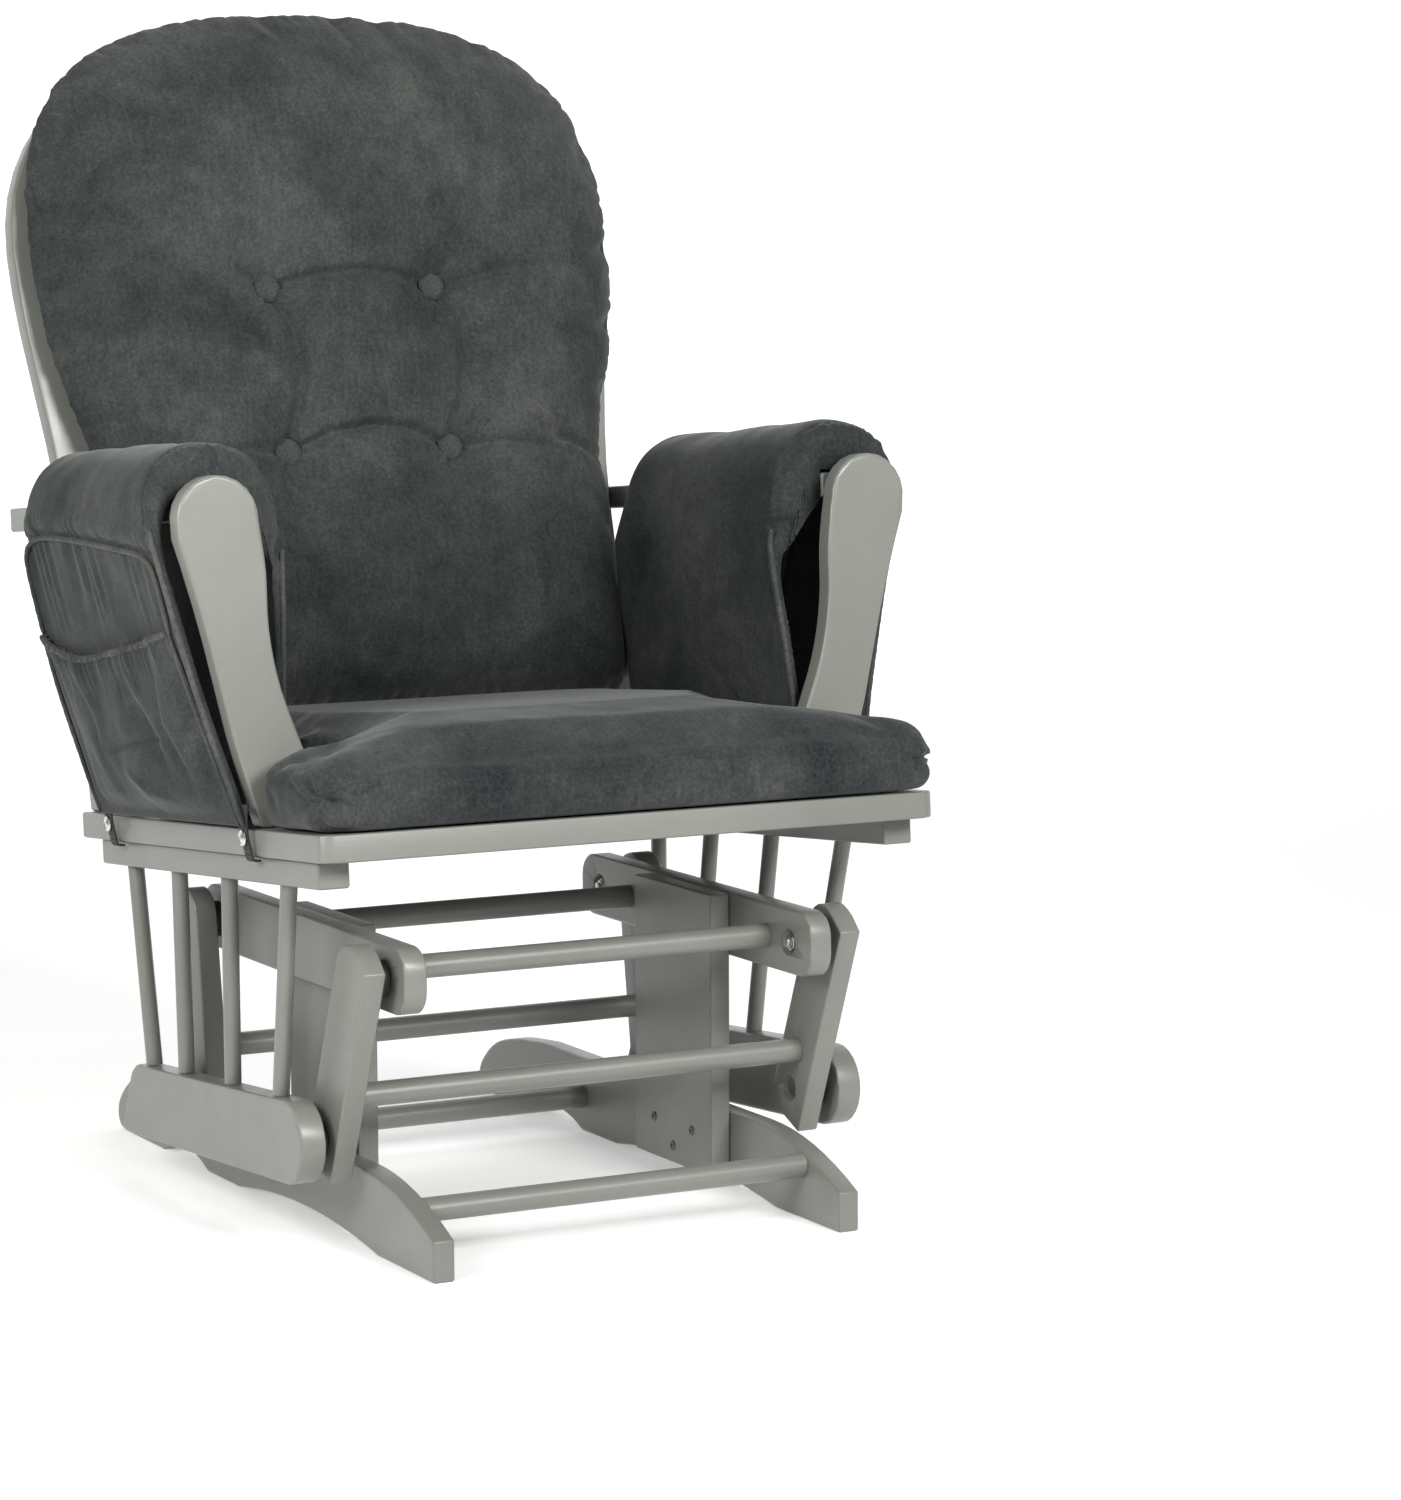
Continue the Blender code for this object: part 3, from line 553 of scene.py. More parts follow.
def back_outline(count):
    """The cushion's edge in (x, h), anticlockwise from the bottom, evenly spaced."""
    half = [(0.0, 0.060), (0.120, 0.060), (0.222, 0.062), (0.2420, 0.078), (0.245, 0.170),
            (0.244, 0.270), (0.250, 0.315), (0.268, 0.375), (0.279, 0.440), (0.281, 0.510),
            (0.271, 0.575), (0.246, 0.625), (0.200, 0.664), (0.136, 0.687), (0.068, 0.697),
            (0.0, 0.699)]
    whole = half + [(-x, h) for x, h in reversed(half[1:-1])]
    return smooth_curve(whole + [half[0]], count + 1)[:-1]


def outline_share(x, h, outline):
    """How far each point is from the cushion's middle to its edge, and where along the edge."""
    angle = np.arctan2(outline[:, 1] - BACK_CENTRE[1], outline[:, 0] - BACK_CENTRE[0])
    radius = np.hypot(outline[:, 0] - BACK_CENTRE[0], outline[:, 1] - BACK_CENTRE[1])
    order = np.argsort(angle)
    here = np.arctan2(h - BACK_CENTRE[1], x - BACK_CENTRE[0])
    edge = np.interp(here, angle[order], radius[order], period=2 * math.pi)
    return np.hypot(x - BACK_CENTRE[0], h - BACK_CENTRE[1]) / edge, here


# Creases as (x, h) paths, with their depth, their width and whether they fade out
CREASES = (
    (((-0.078, 0.435), (-0.064, 0.399), (-0.060, 0.360), (-0.068, 0.322), (-0.076, 0.290)),
     0.0085, 0.0060, 0),
    (((0.078, 0.435), (0.091, 0.396), (0.093, 0.360), (0.087, 0.322), (0.076, 0.290)),
     0.0075, 0.0060, 0),
    (((-0.078, 0.435), (-0.040, 0.443), (0.0, 0.446), (0.040, 0.443), (0.078, 0.435)),
     0.0080, 0.0050, 0),
    (((-0.076, 0.290), (-0.040, 0.304), (0.0, 0.309), (0.040, 0.304), (0.076, 0.290)),
     0.0085, 0.0050, 0),
    (((-0.078, 0.435), (-0.102, 0.446), (-0.132, 0.470), (-0.150, 0.500)), 0.0050, 0.0080, 1),
    (((0.078, 0.435), (0.112, 0.440), (0.150, 0.448), (0.196, 0.446)), 0.0065, 0.0065, 1),
    (((-0.076, 0.290), (-0.110, 0.291), (-0.150, 0.288), (-0.210, 0.280)), 0.0070, 0.0060, 1),
    (((0.076, 0.290), (0.120, 0.292), (0.170, 0.285), (0.226, 0.268)), 0.0070, 0.0060, 1),
    (((0.182, 0.296), (0.206, 0.288), (0.232, 0.272)), 0.0055, 0.0050, 1),
    (((-0.076, 0.290), (-0.084, 0.250), (-0.080, 0.210)), 0.0030, 0.0090, 1),
    (((0.076, 0.290), (0.090, 0.254), (0.094, 0.220)), 0.0030, 0.0090, 1),
)


def back_valleys(x, h):
    """How deep the buttons draw the front in, broadly, at each point."""
    depth = np.zeros(x.shape)
    for bx, bh in BUTTONS:
        d = np.hypot(x - bx, h - bh)
        depth = np.maximum(depth, 0.034 * np.exp(-(d / 0.038) ** 1.25))
    for path, deep, wide, _ in CREASES:
        d, share, _ = polyline_distance(x, h, path)
        valley = deep * 2.1 * np.exp(-(d / (wide * 4.2)) ** 1.5)
        depth = np.maximum(depth, valley * (1 - 0.7 * share))
    return depth


def back_front(x, h, share):
    """The front's distance from the hoop before it is filled."""
    lower = smoothstep(-h, -0.36, -0.16)
    fullness = np.clip(1.0 - np.clip(share, 0, 1) ** (3.4 + 2.2 * lower), 0.0, 1.0)
    puff = np.power(fullness, 0.52 - 0.08 * lower)
    crown = BACK_CROWN - BACK_SEAM + 0.006 * lower
    return BACK_SEAM + crown * puff - back_valleys(x, h) * smoothstep(1.0 - share, 0.0, 0.25)


def build_back_cushion():
    """A filled cover drawn in by four buttons, its edge gathered into one seam near the hoop."""
    around, rings = AROUND, 46
    centre = np.array(BACK_CENTRE)
    outline = centre + (back_outline(around) - centre) * 0.985
    vertices, faces = [], []
    for front in (True, False):
        start = len(vertices)
        for ring in range(1, rings + 1):
            share = (ring / rings) ** 0.85
            flat = centre + (outline - centre) * share
            if front:
                offset = back_front(flat[:, 0], flat[:, 1], np.full(around, share))
            else:
                offset = np.full(around, BACK_REAR + (BACK_SEAM - BACK_REAR) * share ** 9)
            vertices += list(back_to_world(flat[:, 0], flat[:, 1], offset))
        faces += grid_faces(rings, around, start, wrap=True)
        middle = len(vertices)
        offset = back_front(centre[:1], centre[1:], np.zeros(1))[0] if front else BACK_REAR
        vertices.append(back_to_world(centre[0], centre[1], offset))
        faces += [(start + j, start + (j + 1) % around, middle) for j in range(around)]
    obj = add_object("back_cushion_cover", vertices, faces, SUEDE)
    remesh(obj, BACK_VOXEL)
    smooth_mesh(obj, 3)
    inflate(obj, hold_back_cushion, *BACK_FILLING)
    smooth_mesh(obj, 2)
    subdivide(obj)
    shape_back_cushion(obj)
    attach(obj, "seat")
    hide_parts("back_cushion")
    return obj


def hold_back_cushion(points):
    """Pins the buttons, the creases a little, the edge seam and the side that rests on the hoop."""
    x, h, o = world_to_back(points)
    weight = np.zeros(len(points))
    front = o > BACK_SEAM + 0.008
    for bx, bh in BUTTONS:
        near = smoothstep(0.020 - np.hypot(x - bx, h - bh), 0.0, 0.008)
        weight = np.maximum(weight, front * near)
    for crease in CREASES[:4]:
        d, _, _ = polyline_distance(x, h, crease[0])
        weight = np.maximum(weight, front * 0.9 * smoothstep(0.007 - d, 0.0, 0.004))
    weight = np.maximum(weight, 1.0 * (o < BACK_REAR + 0.006))
    at_edge = outline_share(x, h, back_outline(AROUND))[0] > 0.93
    seam = 0.8 * smoothstep(0.008 - np.abs(o - BACK_SEAM), 0.0, 0.006) * at_edge
    return np.maximum(weight, seam)


def pleats(position, centres, width, depth):
    """Narrow folds across a seam at given positions along it."""
    total = np.zeros(position.shape)
    for k, centre in enumerate(centres):
        d = (position - centre + math.pi) % (2 * math.pi) - math.pi
        total -= depth * (0.6 + 0.4 * math.sin(5.1 * k)) * np.exp(-(d / width) ** 2)
    return total


def shape_back_cushion(obj):
    """Sewn creases, gathers along the edge, and soft wrinkles in the nap."""
    points = vertex_array(obj.data)
    normals = vertex_array(obj.data, "normal")
    x, h, o = world_to_back(points)
    share, angle = outline_share(x, h, back_outline(AROUND))
    front = smoothstep(o, BACK_SEAM - 0.004, BACK_SEAM + 0.012)
    move = np.zeros(len(points))
    for path, deep, wide, fades in CREASES:
        d, along, side = polyline_distance(x, h, path)
        sharp = np.where(side > 0, np.exp(-(d / (wide * 0.55)) ** 1.4), np.exp(-(d / wide) ** 1.5))
        fade = 1 - smoothstep(along, 0.35, 1.0) if fades else 1.0
        ridge = 0.28 * np.exp(-((d - wide * 1.5) / (wide * 0.9)) ** 2)
        move -= deep * 0.62 * fade * (sharp - ridge)
    for bx, bh in BUTTONS:
        d = np.hypot(x - bx, h - bh)
        turn = np.arctan2(h - bh, x - bx)
        rays = np.cos(turn * 7 + 13 * bx * 10) * 0.5 + np.cos(turn * 11 + 40 * bh) * 0.5
        move += 0.0014 * rays * np.exp(-((d - 0.018) / 0.014) ** 2)
        move -= 0.004 * np.exp(-(d / 0.013) ** 4)
    rng = np.random.default_rng(7)
    big = np.linspace(-math.pi, math.pi, 27, endpoint=False) + rng.uniform(-0.07, 0.07, 27)
    small = np.linspace(-math.pi, math.pi, 118, endpoint=False) + rng.uniform(-0.012, 0.012, 118)
    edge = front * smoothstep(share, 0.80, 0.97)
    near = front * smoothstep(share, 0.90, 1.0)
    lean = angle + 0.10 * (1 - share)
    move += pleats(lean, big, 0.030, 0.0078) * edge * smoothstep(h, 0.10, 0.20)
    move += pleats(lean, small, 0.0085, 0.0026) * near
    move += 0.0016 * noise_at(points, 26.0, 3.0) * front
    move += 0.0006 * noise_at(points, 70.0, 9.0) * front
    points = points + normals * move[:, None]
    x, h, o = world_to_back(points)
    _, v, _ = world_to_seat(points)
    beside_arms = 1 - smoothstep(v, PAD_REAR_V - 0.006, PAD_REAR_V + 0.014)
    beside_arms = beside_arms * smoothstep(0.360 - h, 0.0, 0.040)
    limit = BETWEEN_ARMS * beside_arms + 0.290 * (1 - beside_arms)
    x = np.clip(x, -limit, limit)
    o = np.maximum(o, BACK_REAR - 0.001)
    h = np.maximum(h, 0.0600)
    set_vertices(obj.data, back_to_world(x, h, o))


def build_buttons(cushion):
    """Four covered buttons, each sunk in its dimple."""
    profile = [(0.0, -0.004), (0.0105, -0.0035), (0.0122, -0.001), (0.0124, 0.0012),
               (0.0112, 0.0036), (0.0085, 0.0055), (0.0045, 0.0068), (0.0, 0.0072)]
    forward = back_to_world(0.0, 0.0, 1.0) - back_to_world(0.0, 0.0, 0.0)
    px, ph, po = world_to_back(vertex_array(cushion.data))
    for number, (x, h) in enumerate(BUTTONS, 1):
        near = (np.hypot(px - x, ph - h) < 0.012) & (po > BACK_SEAM)
        depth = float(np.percentile(po[near], 40)) + 0.0035
        place = facing(back_to_world(x, h, depth), forward)
        button = turned_piece(f"button_{number}", profile, place, SUEDE_PAINTED_HIGHLIGHT, 32)
        subdivide(button)
        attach(button, "seat")


# Seat cushion ------------------------------------------------------------------

SEAT_SEAM = 0.039            # height of the seam above the board, along the front
CORNER_SEAM = 0.026          # and where it ends at the gathered corners
SEAT_CORNER = (0.262, 0.004)
NOTCH = (0.1335, 0.1555, 0.1975)  # the space its T leaves for the arm panels' front edges
SEAT_VOXEL = 0.005
SEAT_FILLING = (0.010, 3.0)


def seat_outline():
    """The cushion's edge in (x, v): a T with its bar in front of the arm panels."""
    half = []
    corners = ((0.236, 0.026, 0.036, -90, 0), (0.251, 0.106, 0.019, 0, 90))
    for cx, cv, radius, start, end in corners:
        for step in range(9):
            angle = math.radians(start + (end - start) * step / 8)
            half.append((cx + radius * math.cos(angle), cv + radius * math.sin(angle)))
    half += [(0.204, 0.127), (0.196, 0.132), (0.196, 0.156), (0.206, 0.163), (0.220, 0.170),
             (0.222, 0.200), (0.222, 0.330), (0.222, 0.450)]
    for step in range(1, 7):
        angle = math.radians(90 * step / 6)
        half.append((0.192 + 0.030 * math.cos(angle), 0.456 + 0.030 * math.sin(angle)))
    return half + [(-x, v) for x, v in reversed(half)]


def build_seat_cushion():
    """A boxed cushion whose cover rolls over the front to a seam below its middle."""
    outline = np.array(seat_outline())
    count = len(outline)
    levels = ((0.0015, 0.010), (0.006, 0.0035), (0.014, 0.0008), (0.030, 0.0), (0.042, 0.0016),
              (0.052, 0.0075), (0.059, 0.017), (0.0625, 0.030))
    edges = np.roll(outline, -1, 0) - np.roll(outline, 1, 0)
    inward = np.column_stack([-edges[:, 1], edges[:, 0]]) / np.linalg.norm(edges, axis=1)[:, None]
    vertices = []
    for w, inset in levels:
        ring = outline + inward * inset
        vertices += list(seat_to_world(ring[:, 0], ring[:, 1], w))
    faces = grid_faces(len(levels), count, wrap=True)
    faces += [tuple(range(count)), tuple((len(levels) - 1) * count + j for j in range(count))]
    obj = add_object("seat_cushion_cover", vertices, faces, SUEDE)
    remesh(obj, SEAT_VOXEL)
    smooth_mesh(obj, 3)
    inflate(obj, hold_seat_cushion, *SEAT_FILLING)
    smooth_mesh(obj, 2)
    subdivide(obj)
    shape_seat_cushion(obj)
    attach(obj, "seat")
    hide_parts("seat_cushion")


def hold_seat_cushion(points):
    """Pins the underside and, lightly, the seam round the sides."""
    _, _, w = world_to_seat(points)
    return np.maximum(1.0 * (w < 0.008), 0.45 * (np.abs(w - SEAT_SEAM) < 0.004))


def seat_crown(x, v):
    """How far the filling lifts the cushion's top above its edges."""
    across = smoothstep(0.275 - np.abs(x), 0.0, 0.17)
    return 0.0175 * across * smoothstep(v, 0.0, 0.20) * (1 - 0.62 * smoothstep(v, 0.36, 0.46))


def shape_seat_cushion(obj):
    """The seam, the pleats at the front corners and the dents left by sitting."""
    seat_up = seat_to_world(0, 0, 1.0) - seat_to_world(0, 0, 0.0)
    points = vertex_array(obj.data)
    normals = vertex_array(obj.data, "normal")
    x, v, w = world_to_seat(points)
    top = smoothstep(w, 0.040, 0.056)
    slope = np.abs(normals @ seat_up)
    side = 1 - smoothstep(slope, 0.55, 0.90)
    corner = np.hypot(np.abs(x) - SEAT_CORNER[0], v - SEAT_CORNER[1])
    wave = SEAT_SEAM + 0.0012 * np.sin(x * 21.0) + 0.0007 * np.sin(x * 57.0)
    wave = CORNER_SEAM + (wave - CORNER_SEAM) * smoothstep(corner, 0.010, 0.055)
    seam = np.abs(w - wave)
    along_front = smoothstep(0.20 - v, 0.0, 0.10)
    move = -0.0020 * along_front * np.exp(-(seam / 0.0016) ** 2) * (slope < 0.93)
    move += 0.0011 * along_front * np.exp(-((w - wave - 0.005) / 0.004) ** 2)
    pucker = np.sin(x * 240.0 + 9 * np.sin(x * 31.0))
    move += 0.0006 * side * pucker * np.exp(-(seam / 0.010) ** 2)
    for sign in (-1, 1):
        dx, dv, dw = x - sign * SEAT_CORNER[0], v - SEAT_CORNER[1], w - CORNER_SEAM
        turn = np.arctan2(dw, dv - 0.6 * sign * dx)
        d = np.sqrt(dx ** 2 + dv ** 2 + dw ** 2)
        fan = np.abs(np.cos(turn * 3.0 + 0.9 * sign)) ** 0.6
        fan += 0.35 * np.abs(np.cos(turn * 4.5 + 0.4)) ** 0.6
        move += 0.0068 * (fan - 1.15) * np.exp(-((d - 0.014) / 0.014) ** 2)
        move -= 0.0060 * np.exp(-(d / 0.007) ** 2)
    move += (0.0016 * noise_at(points, 11.0, 5.0) + 0.0008 * noise_at(points, 34.0, 8.0)) * top
    move += 0.0008 * noise_at(points, 60.0, 2.0) * side
    points = points + seat_up * (seat_crown(x, v) * smoothstep(w, 0.030, 0.060))[:, None]
    points = points + normals * move[:, None]
    x, v, w = world_to_seat(points)
    limit = np.where(v > 0.158, 0.2285, 0.290)
    x = np.clip(x, -limit, limit)
    notch = (v > NOTCH[0]) & (v < NOTCH[1]) & (np.abs(x) > NOTCH[2])
    x = np.where(notch, np.sign(x) * NOTCH[2], x)
    w = np.maximum(w, 0.0008)
    v = np.maximum(v, -0.022)
    w = np.minimum(w, 0.084)
    set_vertices(obj.data, seat_to_world(x, v, w))


# Arm covers --------------------------------------------------------------------

PAD_REAR_V = 0.458           # the covers' rear edges

# The cover's section as (x, w), from the outer flap's lower edge over the arm to the inner flap's
OUTER_SECTION = ((0.2770, 0.003), (0.2880, 0.050), (0.3035, 0.110), (0.3170, 0.165), (0.3285, 0.212),
                 (0.3340, 0.238), (0.3325, 0.262), (0.3220, 0.284), (0.3030, 0.297), (0.2820, 0.3005),
                 (0.2600, 0.297), (0.2400, 0.285), (0.2265, 0.263), (0.2200, 0.232), (0.2195, 0.190),
                 (0.2250, 0.120), (0.2310, 0.045))
INNER_SECTION = ((0.2715, 0.003), (0.2820, 0.050), (0.2975, 0.110), (0.3110, 0.165), (0.3225, 0.210),
                 (0.3235, 0.238), (0.3160, 0.256), (0.3040, 0.2620), (0.2960, 0.2625), (0.2820, 0.2625),
                 (0.2700, 0.2625), (0.2600, 0.2615), (0.2595, 0.239), (0.2440, 0.219), (0.2275, 0.188),
                 (0.2310, 0.120), (0.2370, 0.045))

# The cover's front and rear edges as (w, v), on the outer and on the inner side of the arm
OUTER_FRONT = ((0.0, 0.130), (0.030, 0.139), (0.080, 0.149), (0.150, 0.155), (0.230, 0.156))
OUTER_REAR = ((0.0, 0.441), (0.030, 0.450), (0.080, 0.459), (0.150, 0.460), (0.230, 0.457))
INNER_FRONT = ((0.045, 0.158), (0.120, 0.163), (0.190, 0.170), (0.212, 0.169), (0.228, 0.157))
INNER_REAR = ((0.045, 0.454), (0.230, 0.456))

# The seam where the padded top meets the outer flap, as (v, w)
HEM = ((0.120, 0.209), (0.156, 0.2145), (0.215, 0.2230), (0.274, 0.2290), (0.335, 0.2345),
       (0.393, 0.2375), (0.425, 0.2350), (0.470, 0.2270))


def read_curve(curve, at):
    """Height of a curve given by a few points."""
    fine = smooth_curve(curve, 80)
    return np.interp(at, fine[:, 0], fine[:, 1])


def hem_height(v):
    """Height of the seam where the padded top meets the pocket panel on the outer side."""
    return read_curve(HEM, v)


def cover_edges(share, w):
    """Where each row of the cover starts and ends, front to rear."""
    inner = smoothstep(share, 0.46, 0.62)
    front = read_curve(OUTER_FRONT, w) * (1 - inner) + read_curve(INNER_FRONT, w) * inner
    rear = read_curve(OUTER_REAR, w) * (1 - inner) + read_curve(INNER_REAR, w) * inner
    return front, rear


def outer_side_x(w):
    """How far out the cover's outer side is at a height above the board."""
    section = OUTER_SECTION[:6]
    return np.interp(w, [p[1] for p in section], [p[0] for p in section])


def build_arm_cover(side, sign):
    """The padded cover of one arm: top, outer flap and inner flap in one sewn piece."""
    across, along = 200, 130
    outer = smooth_curve(OUTER_SECTION, across)
    inner = smooth_curve(INNER_SECTION, across)
    share = np.linspace(0.0, 1.0, across)[:, None]
    front, rear = cover_edges(share, outer[:, 1][:, None])
    v = front + (rear - front) * np.linspace(0.0, 1.0, along)[None, :]
    x, w = outer[:, 0][:, None] + 0 * v, outer[:, 1][:, None] + 0 * v
    slope = np.gradient(outer, axis=0)
    slope /= np.linalg.norm(slope, axis=1)[:, None]
    out_x, out_w = slope[:, 1][:, None], -slope[:, 0][:, None]
    outside = share < 0.42
    inside = smoothstep(share, 0.60, 0.68)
    top = smoothstep(w, 0.228, 0.268)
    above = np.where(outside, w - hem_height(v), 1.0)
    panel = np.where(outside, smoothstep(-above, 0.0, 0.008), 0.0)
    seed = 3.0 * sign
    from_front, from_rear = v - front, rear - v
    points = np.stack([x, v, w], -1).reshape(-1, 3)
    soft = noise_at(points, 13.0, seed).reshape(x.shape)
    fine = noise_at(points, 38.0, seed + 4).reshape(x.shape)
    move = (0.0030 * soft + 0.0009 * fine) * (1 - panel)
    move += 0.0022 * top * smoothstep(from_front, 0.0, 0.03) * smoothstep(from_rear, 0.0, 0.03)
    move -= 0.0030 * np.exp(-(np.abs(above) / 0.0022) ** 2)
    gather = np.sin(v * 560.0 + 9 * np.sin(v * 43.0 + seed)) * (0.6 + 0.4 * np.sin(v * 131.0 + seed))
    move += np.where(outside & (above > 0), 0.0017 * gather * np.exp(-above / 0.006), 0.0)
    lift = 0.0032 * np.exp(-((above - 0.011) / 0.009) ** 2)
    move += np.where(outside, lift, 0.0)
    folds = 0.6 * np.sin(v * 118.0 + 3.1 * np.sin(v * 47.0 + seed) + 26 * (w - 0.2))
    folds = folds + 0.4 * np.sin(v * 263.0 + 4.0 * np.sin(v * 61.0))
    move += 0.0017 * folds * panel * smoothstep(w, 0.130, 0.225)
    hem_line = np.exp(-(np.abs(from_front - 0.0115) / 0.0015) ** 2)
    move -= 0.0014 * hem_line
    pucker = np.sin(share * 330.0 + 7 * np.sin(share * 37.0))
    ruffle = smoothstep(0.024 - from_front, 0.0, 0.020)
    move += 0.0011 * pucker * ruffle * (1 - panel)
    round_front = np.clip(1 - from_front / 0.016, 0.0, 1.0)
    round_rear = np.clip(1 - from_rear / 0.034, 0.0, 1.0)
    drop_front = 0.007 * (1 - np.sqrt(1 - round_front ** 2))
    drop_rear = 0.022 * (1 - np.sqrt(1 - round_rear ** 2))
    fold_in = 0.016 * round_front ** 1.2 * smoothstep(share, 0.56, 0.62) * smoothstep(w, 0.205, 0.222)
    draw = (drop_front + drop_rear) * smoothstep(w, 0.205, 0.262) + fold_in
    inner_x = inner[:, 0][:, None] + 0 * v
    inner_w = inner[:, 1][:, None] + 0 * v
    gap = np.hypot(x - inner_x, w - inner_w)
    draw = np.minimum(draw, np.maximum(gap - 0.004, 0.0))
    sag = 0.0016 * np.sin(v * 37.0 + seed) * inside
    x = x + (move + sag - draw) * out_x
    w = w + (move - draw) * out_w
    outer_points = seat_to_world(sign * x, v, w)
    inner_points = seat_to_world(sign * (inner_x + (np.minimum(move, 0.0) * 0.5 + sag) * out_x), v, inner_w)
    obj = shell("arm_cover_" + side, outer_points, inner_points, SUEDE)
    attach(obj, "seat")
    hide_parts("arm_pad_" + side)


# The pocket on the outer flap: its top and its bottom from front to rear, the height of its
# bottom, and its elastic mouth as (share of its width, height)
POCKET_TOP = (0.171, 0.457)
POCKET_LOW = (0.137, 0.440)
POCKET_FLOOR = 0.003
MOUTH = ((0.0, 0.154), (0.12, 0.148), (0.34, 0.1405), (0.55, 0.1350), (0.70, 0.1330), (0.86, 0.1390),
         (1.0, 0.1520))

# Folds in the pocket's front as paths over its width and height, with their depth and width
POCKET_FOLDS = (
    (((0.24, 0.268), (0.36, 0.262), (0.50, 0.252), (0.66, 0.228)), 0.0046, 0.022),
    (((0.40, 0.500), (0.36, 0.400), (0.30, 0.300), (0.27, 0.180)), 0.0034, 0.040),
    (((0.78, 0.470), (0.72, 0.360), (0.70, 0.260)), 0.0030, 0.034),
    (((0.16, 0.440), (0.20, 0.300), (0.16, 0.120)), 0.0030, 0.030),
    (((0.58, 0.180), (0.46, 0.100), (0.30, 0.060)), -0.0036, 0.045),
)


def build_pocket(side, sign):
    """A baggy pocket front with a gathered elastic mouth."""
    along, tall = 150, 80
    s = np.linspace(0.0, 1.0, along)[None, :]
    t = np.linspace(0.0, 1.0, tall)[:, None]
    top_v = POCKET_TOP[0] + (POCKET_TOP[1] - POCKET_TOP[0]) * s
    low_v = POCKET_LOW[0] + (POCKET_LOW[1] - POCKET_LOW[0]) * s
    v = low_v + (top_v - low_v) * t
    w = POCKET_FLOOR + (read_curve(MOUTH, s) - POCKET_FLOOR) * t
    edges = np.minimum(np.minimum(s, 1 - s) / 0.10, 1.0) * np.minimum(t / 0.16, 1.0)
    mouth = smoothstep(t, 0.80, 1.0)
    belly = np.sin(np.clip(t, 0, 1) * math.pi) ** 0.6 * np.sqrt(np.sin(s * math.pi))
    bag = (0.0030 + 0.0125 * belly) * smoothstep(edges, 0.0, 1.0) + 0.0045 * mouth
    inside = smoothstep(np.minimum(s, 1 - s), 0.0, 0.05)
    gather = 0.6 * np.sin(s * 205.0 + 6 * np.sin(s * 29.0 + sign))
    gather = gather + 0.4 * np.sin(s * 97.0 + 4 * np.sin(s * 17.0))
    bag = bag + 0.0021 * gather * np.exp(-(1 - t) / 0.10) * inside
    points = np.stack([v, w, 0 * v], -1).reshape(-1, 3)
    soft = noise_at(points, 15.0, 11.0 + sign).reshape(v.shape)
    crumple = noise_at(points, 42.0, 5.0 + sign).reshape(v.shape)
    bag = bag + (0.0052 * soft + 0.0012 * crumple) * smoothstep(edges, 0.0, 1.0)
    for path, deep, wide in POCKET_FOLDS:
        d, share, side_of = polyline_distance(s + 0 * t, 0.55 * t + 0 * s, path)
        wide_here = np.where(side_of > 0, wide, 0.45 * wide)
        ends = np.sin(np.clip(share, 0.02, 0.98) * math.pi) ** 0.6
        bag = bag - deep * np.exp(-(d / wide_here) ** 1.6) * ends
    outward = np.maximum(bag, 0.0014)
    x = outer_side_x(w)
    outer_points = seat_to_world(sign * (x + outward), v, w)
    thick = 0.0024 * np.minimum(1.0, outward / 0.003)
    inner_points = seat_to_world(sign * (x + outward - thick), v, w)
    pocket = shell("pocket_" + side, outer_points, inner_points, SUEDE)
    rim = tube("pocket_mouth_" + side, outer_points[-1], 0.0030, SUEDE_PAINTED_HIGHLIGHT, wobble=0.30)
    for piece in [pocket, rim] + piping(side, sign):
        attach(piece, "seat")


def piping(side, sign):
    """The piping round the panel above the pocket, and down the pocket's two sides."""
    cords = []
    front = [(0.171, 0.152), (0.168, 0.176), (0.168, 0.198), (0.173, 0.2085), (0.186, 0.2145)]
    top_edge = [(v, float(hem_height(v)) - 0.0045) for v in (0.215, 0.270, 0.330, 0.390)]
    rear = [(0.424, 0.2300), (0.443, 0.2210), (0.450, 0.2040), (0.4535, 0.1800), (0.4560, 0.1530)]
    path = smooth_curve(front + top_edge + rear, 150)
    front_side = smooth_curve([(0.171, 0.154), (0.163, 0.105), (0.151, 0.052), (0.137, 0.004)], 60)
    rear_side = smooth_curve([(0.457, 0.152), (0.457, 0.100), (0.450, 0.045), (0.440, 0.004)], 60)
    for label, line, lift, radius, wobble in (("", path, 0.0016, 0.0021, 0.12),
                                              ("front_", front_side, 0.0020, 0.0019, 0.10),
                                              ("rear_", rear_side, 0.0020, 0.0019, 0.10)):
        edge = seat_to_world(sign * (outer_side_x(line[:, 1]) + lift), line[:, 0], line[:, 1])
        cords.append(tube(f"pocket_{label}piping_{side}", edge, radius, SUEDE_PAINTED_HIGHLIGHT, wobble=wobble))
    return cords


def build_hems(side, sign):
    """Stitched hems along the front edges of the two flaps."""
    steps = 240
    outer = smooth_curve(OUTER_SECTION, steps)
    for label, first, last in (("outer", 0, 92), ("inner", 174, steps)):
        line = outer[first:last]
        share = np.linspace(0.0, 1.0, steps)[first:last]
        front, _ = cover_edges(share, line[:, 1])
        edge = seat_to_world(sign * line[:, 0], front + 0.0012, line[:, 1])
        hem = tube(f"{label}_flap_hem_{side}", edge, 0.0024, SUEDE_PAINTED_HIGHLIGHT, wobble=0.10)
        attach(hem, "seat")


STRAP_PLACES = (("front", 0.138), ("rear", 0.434))


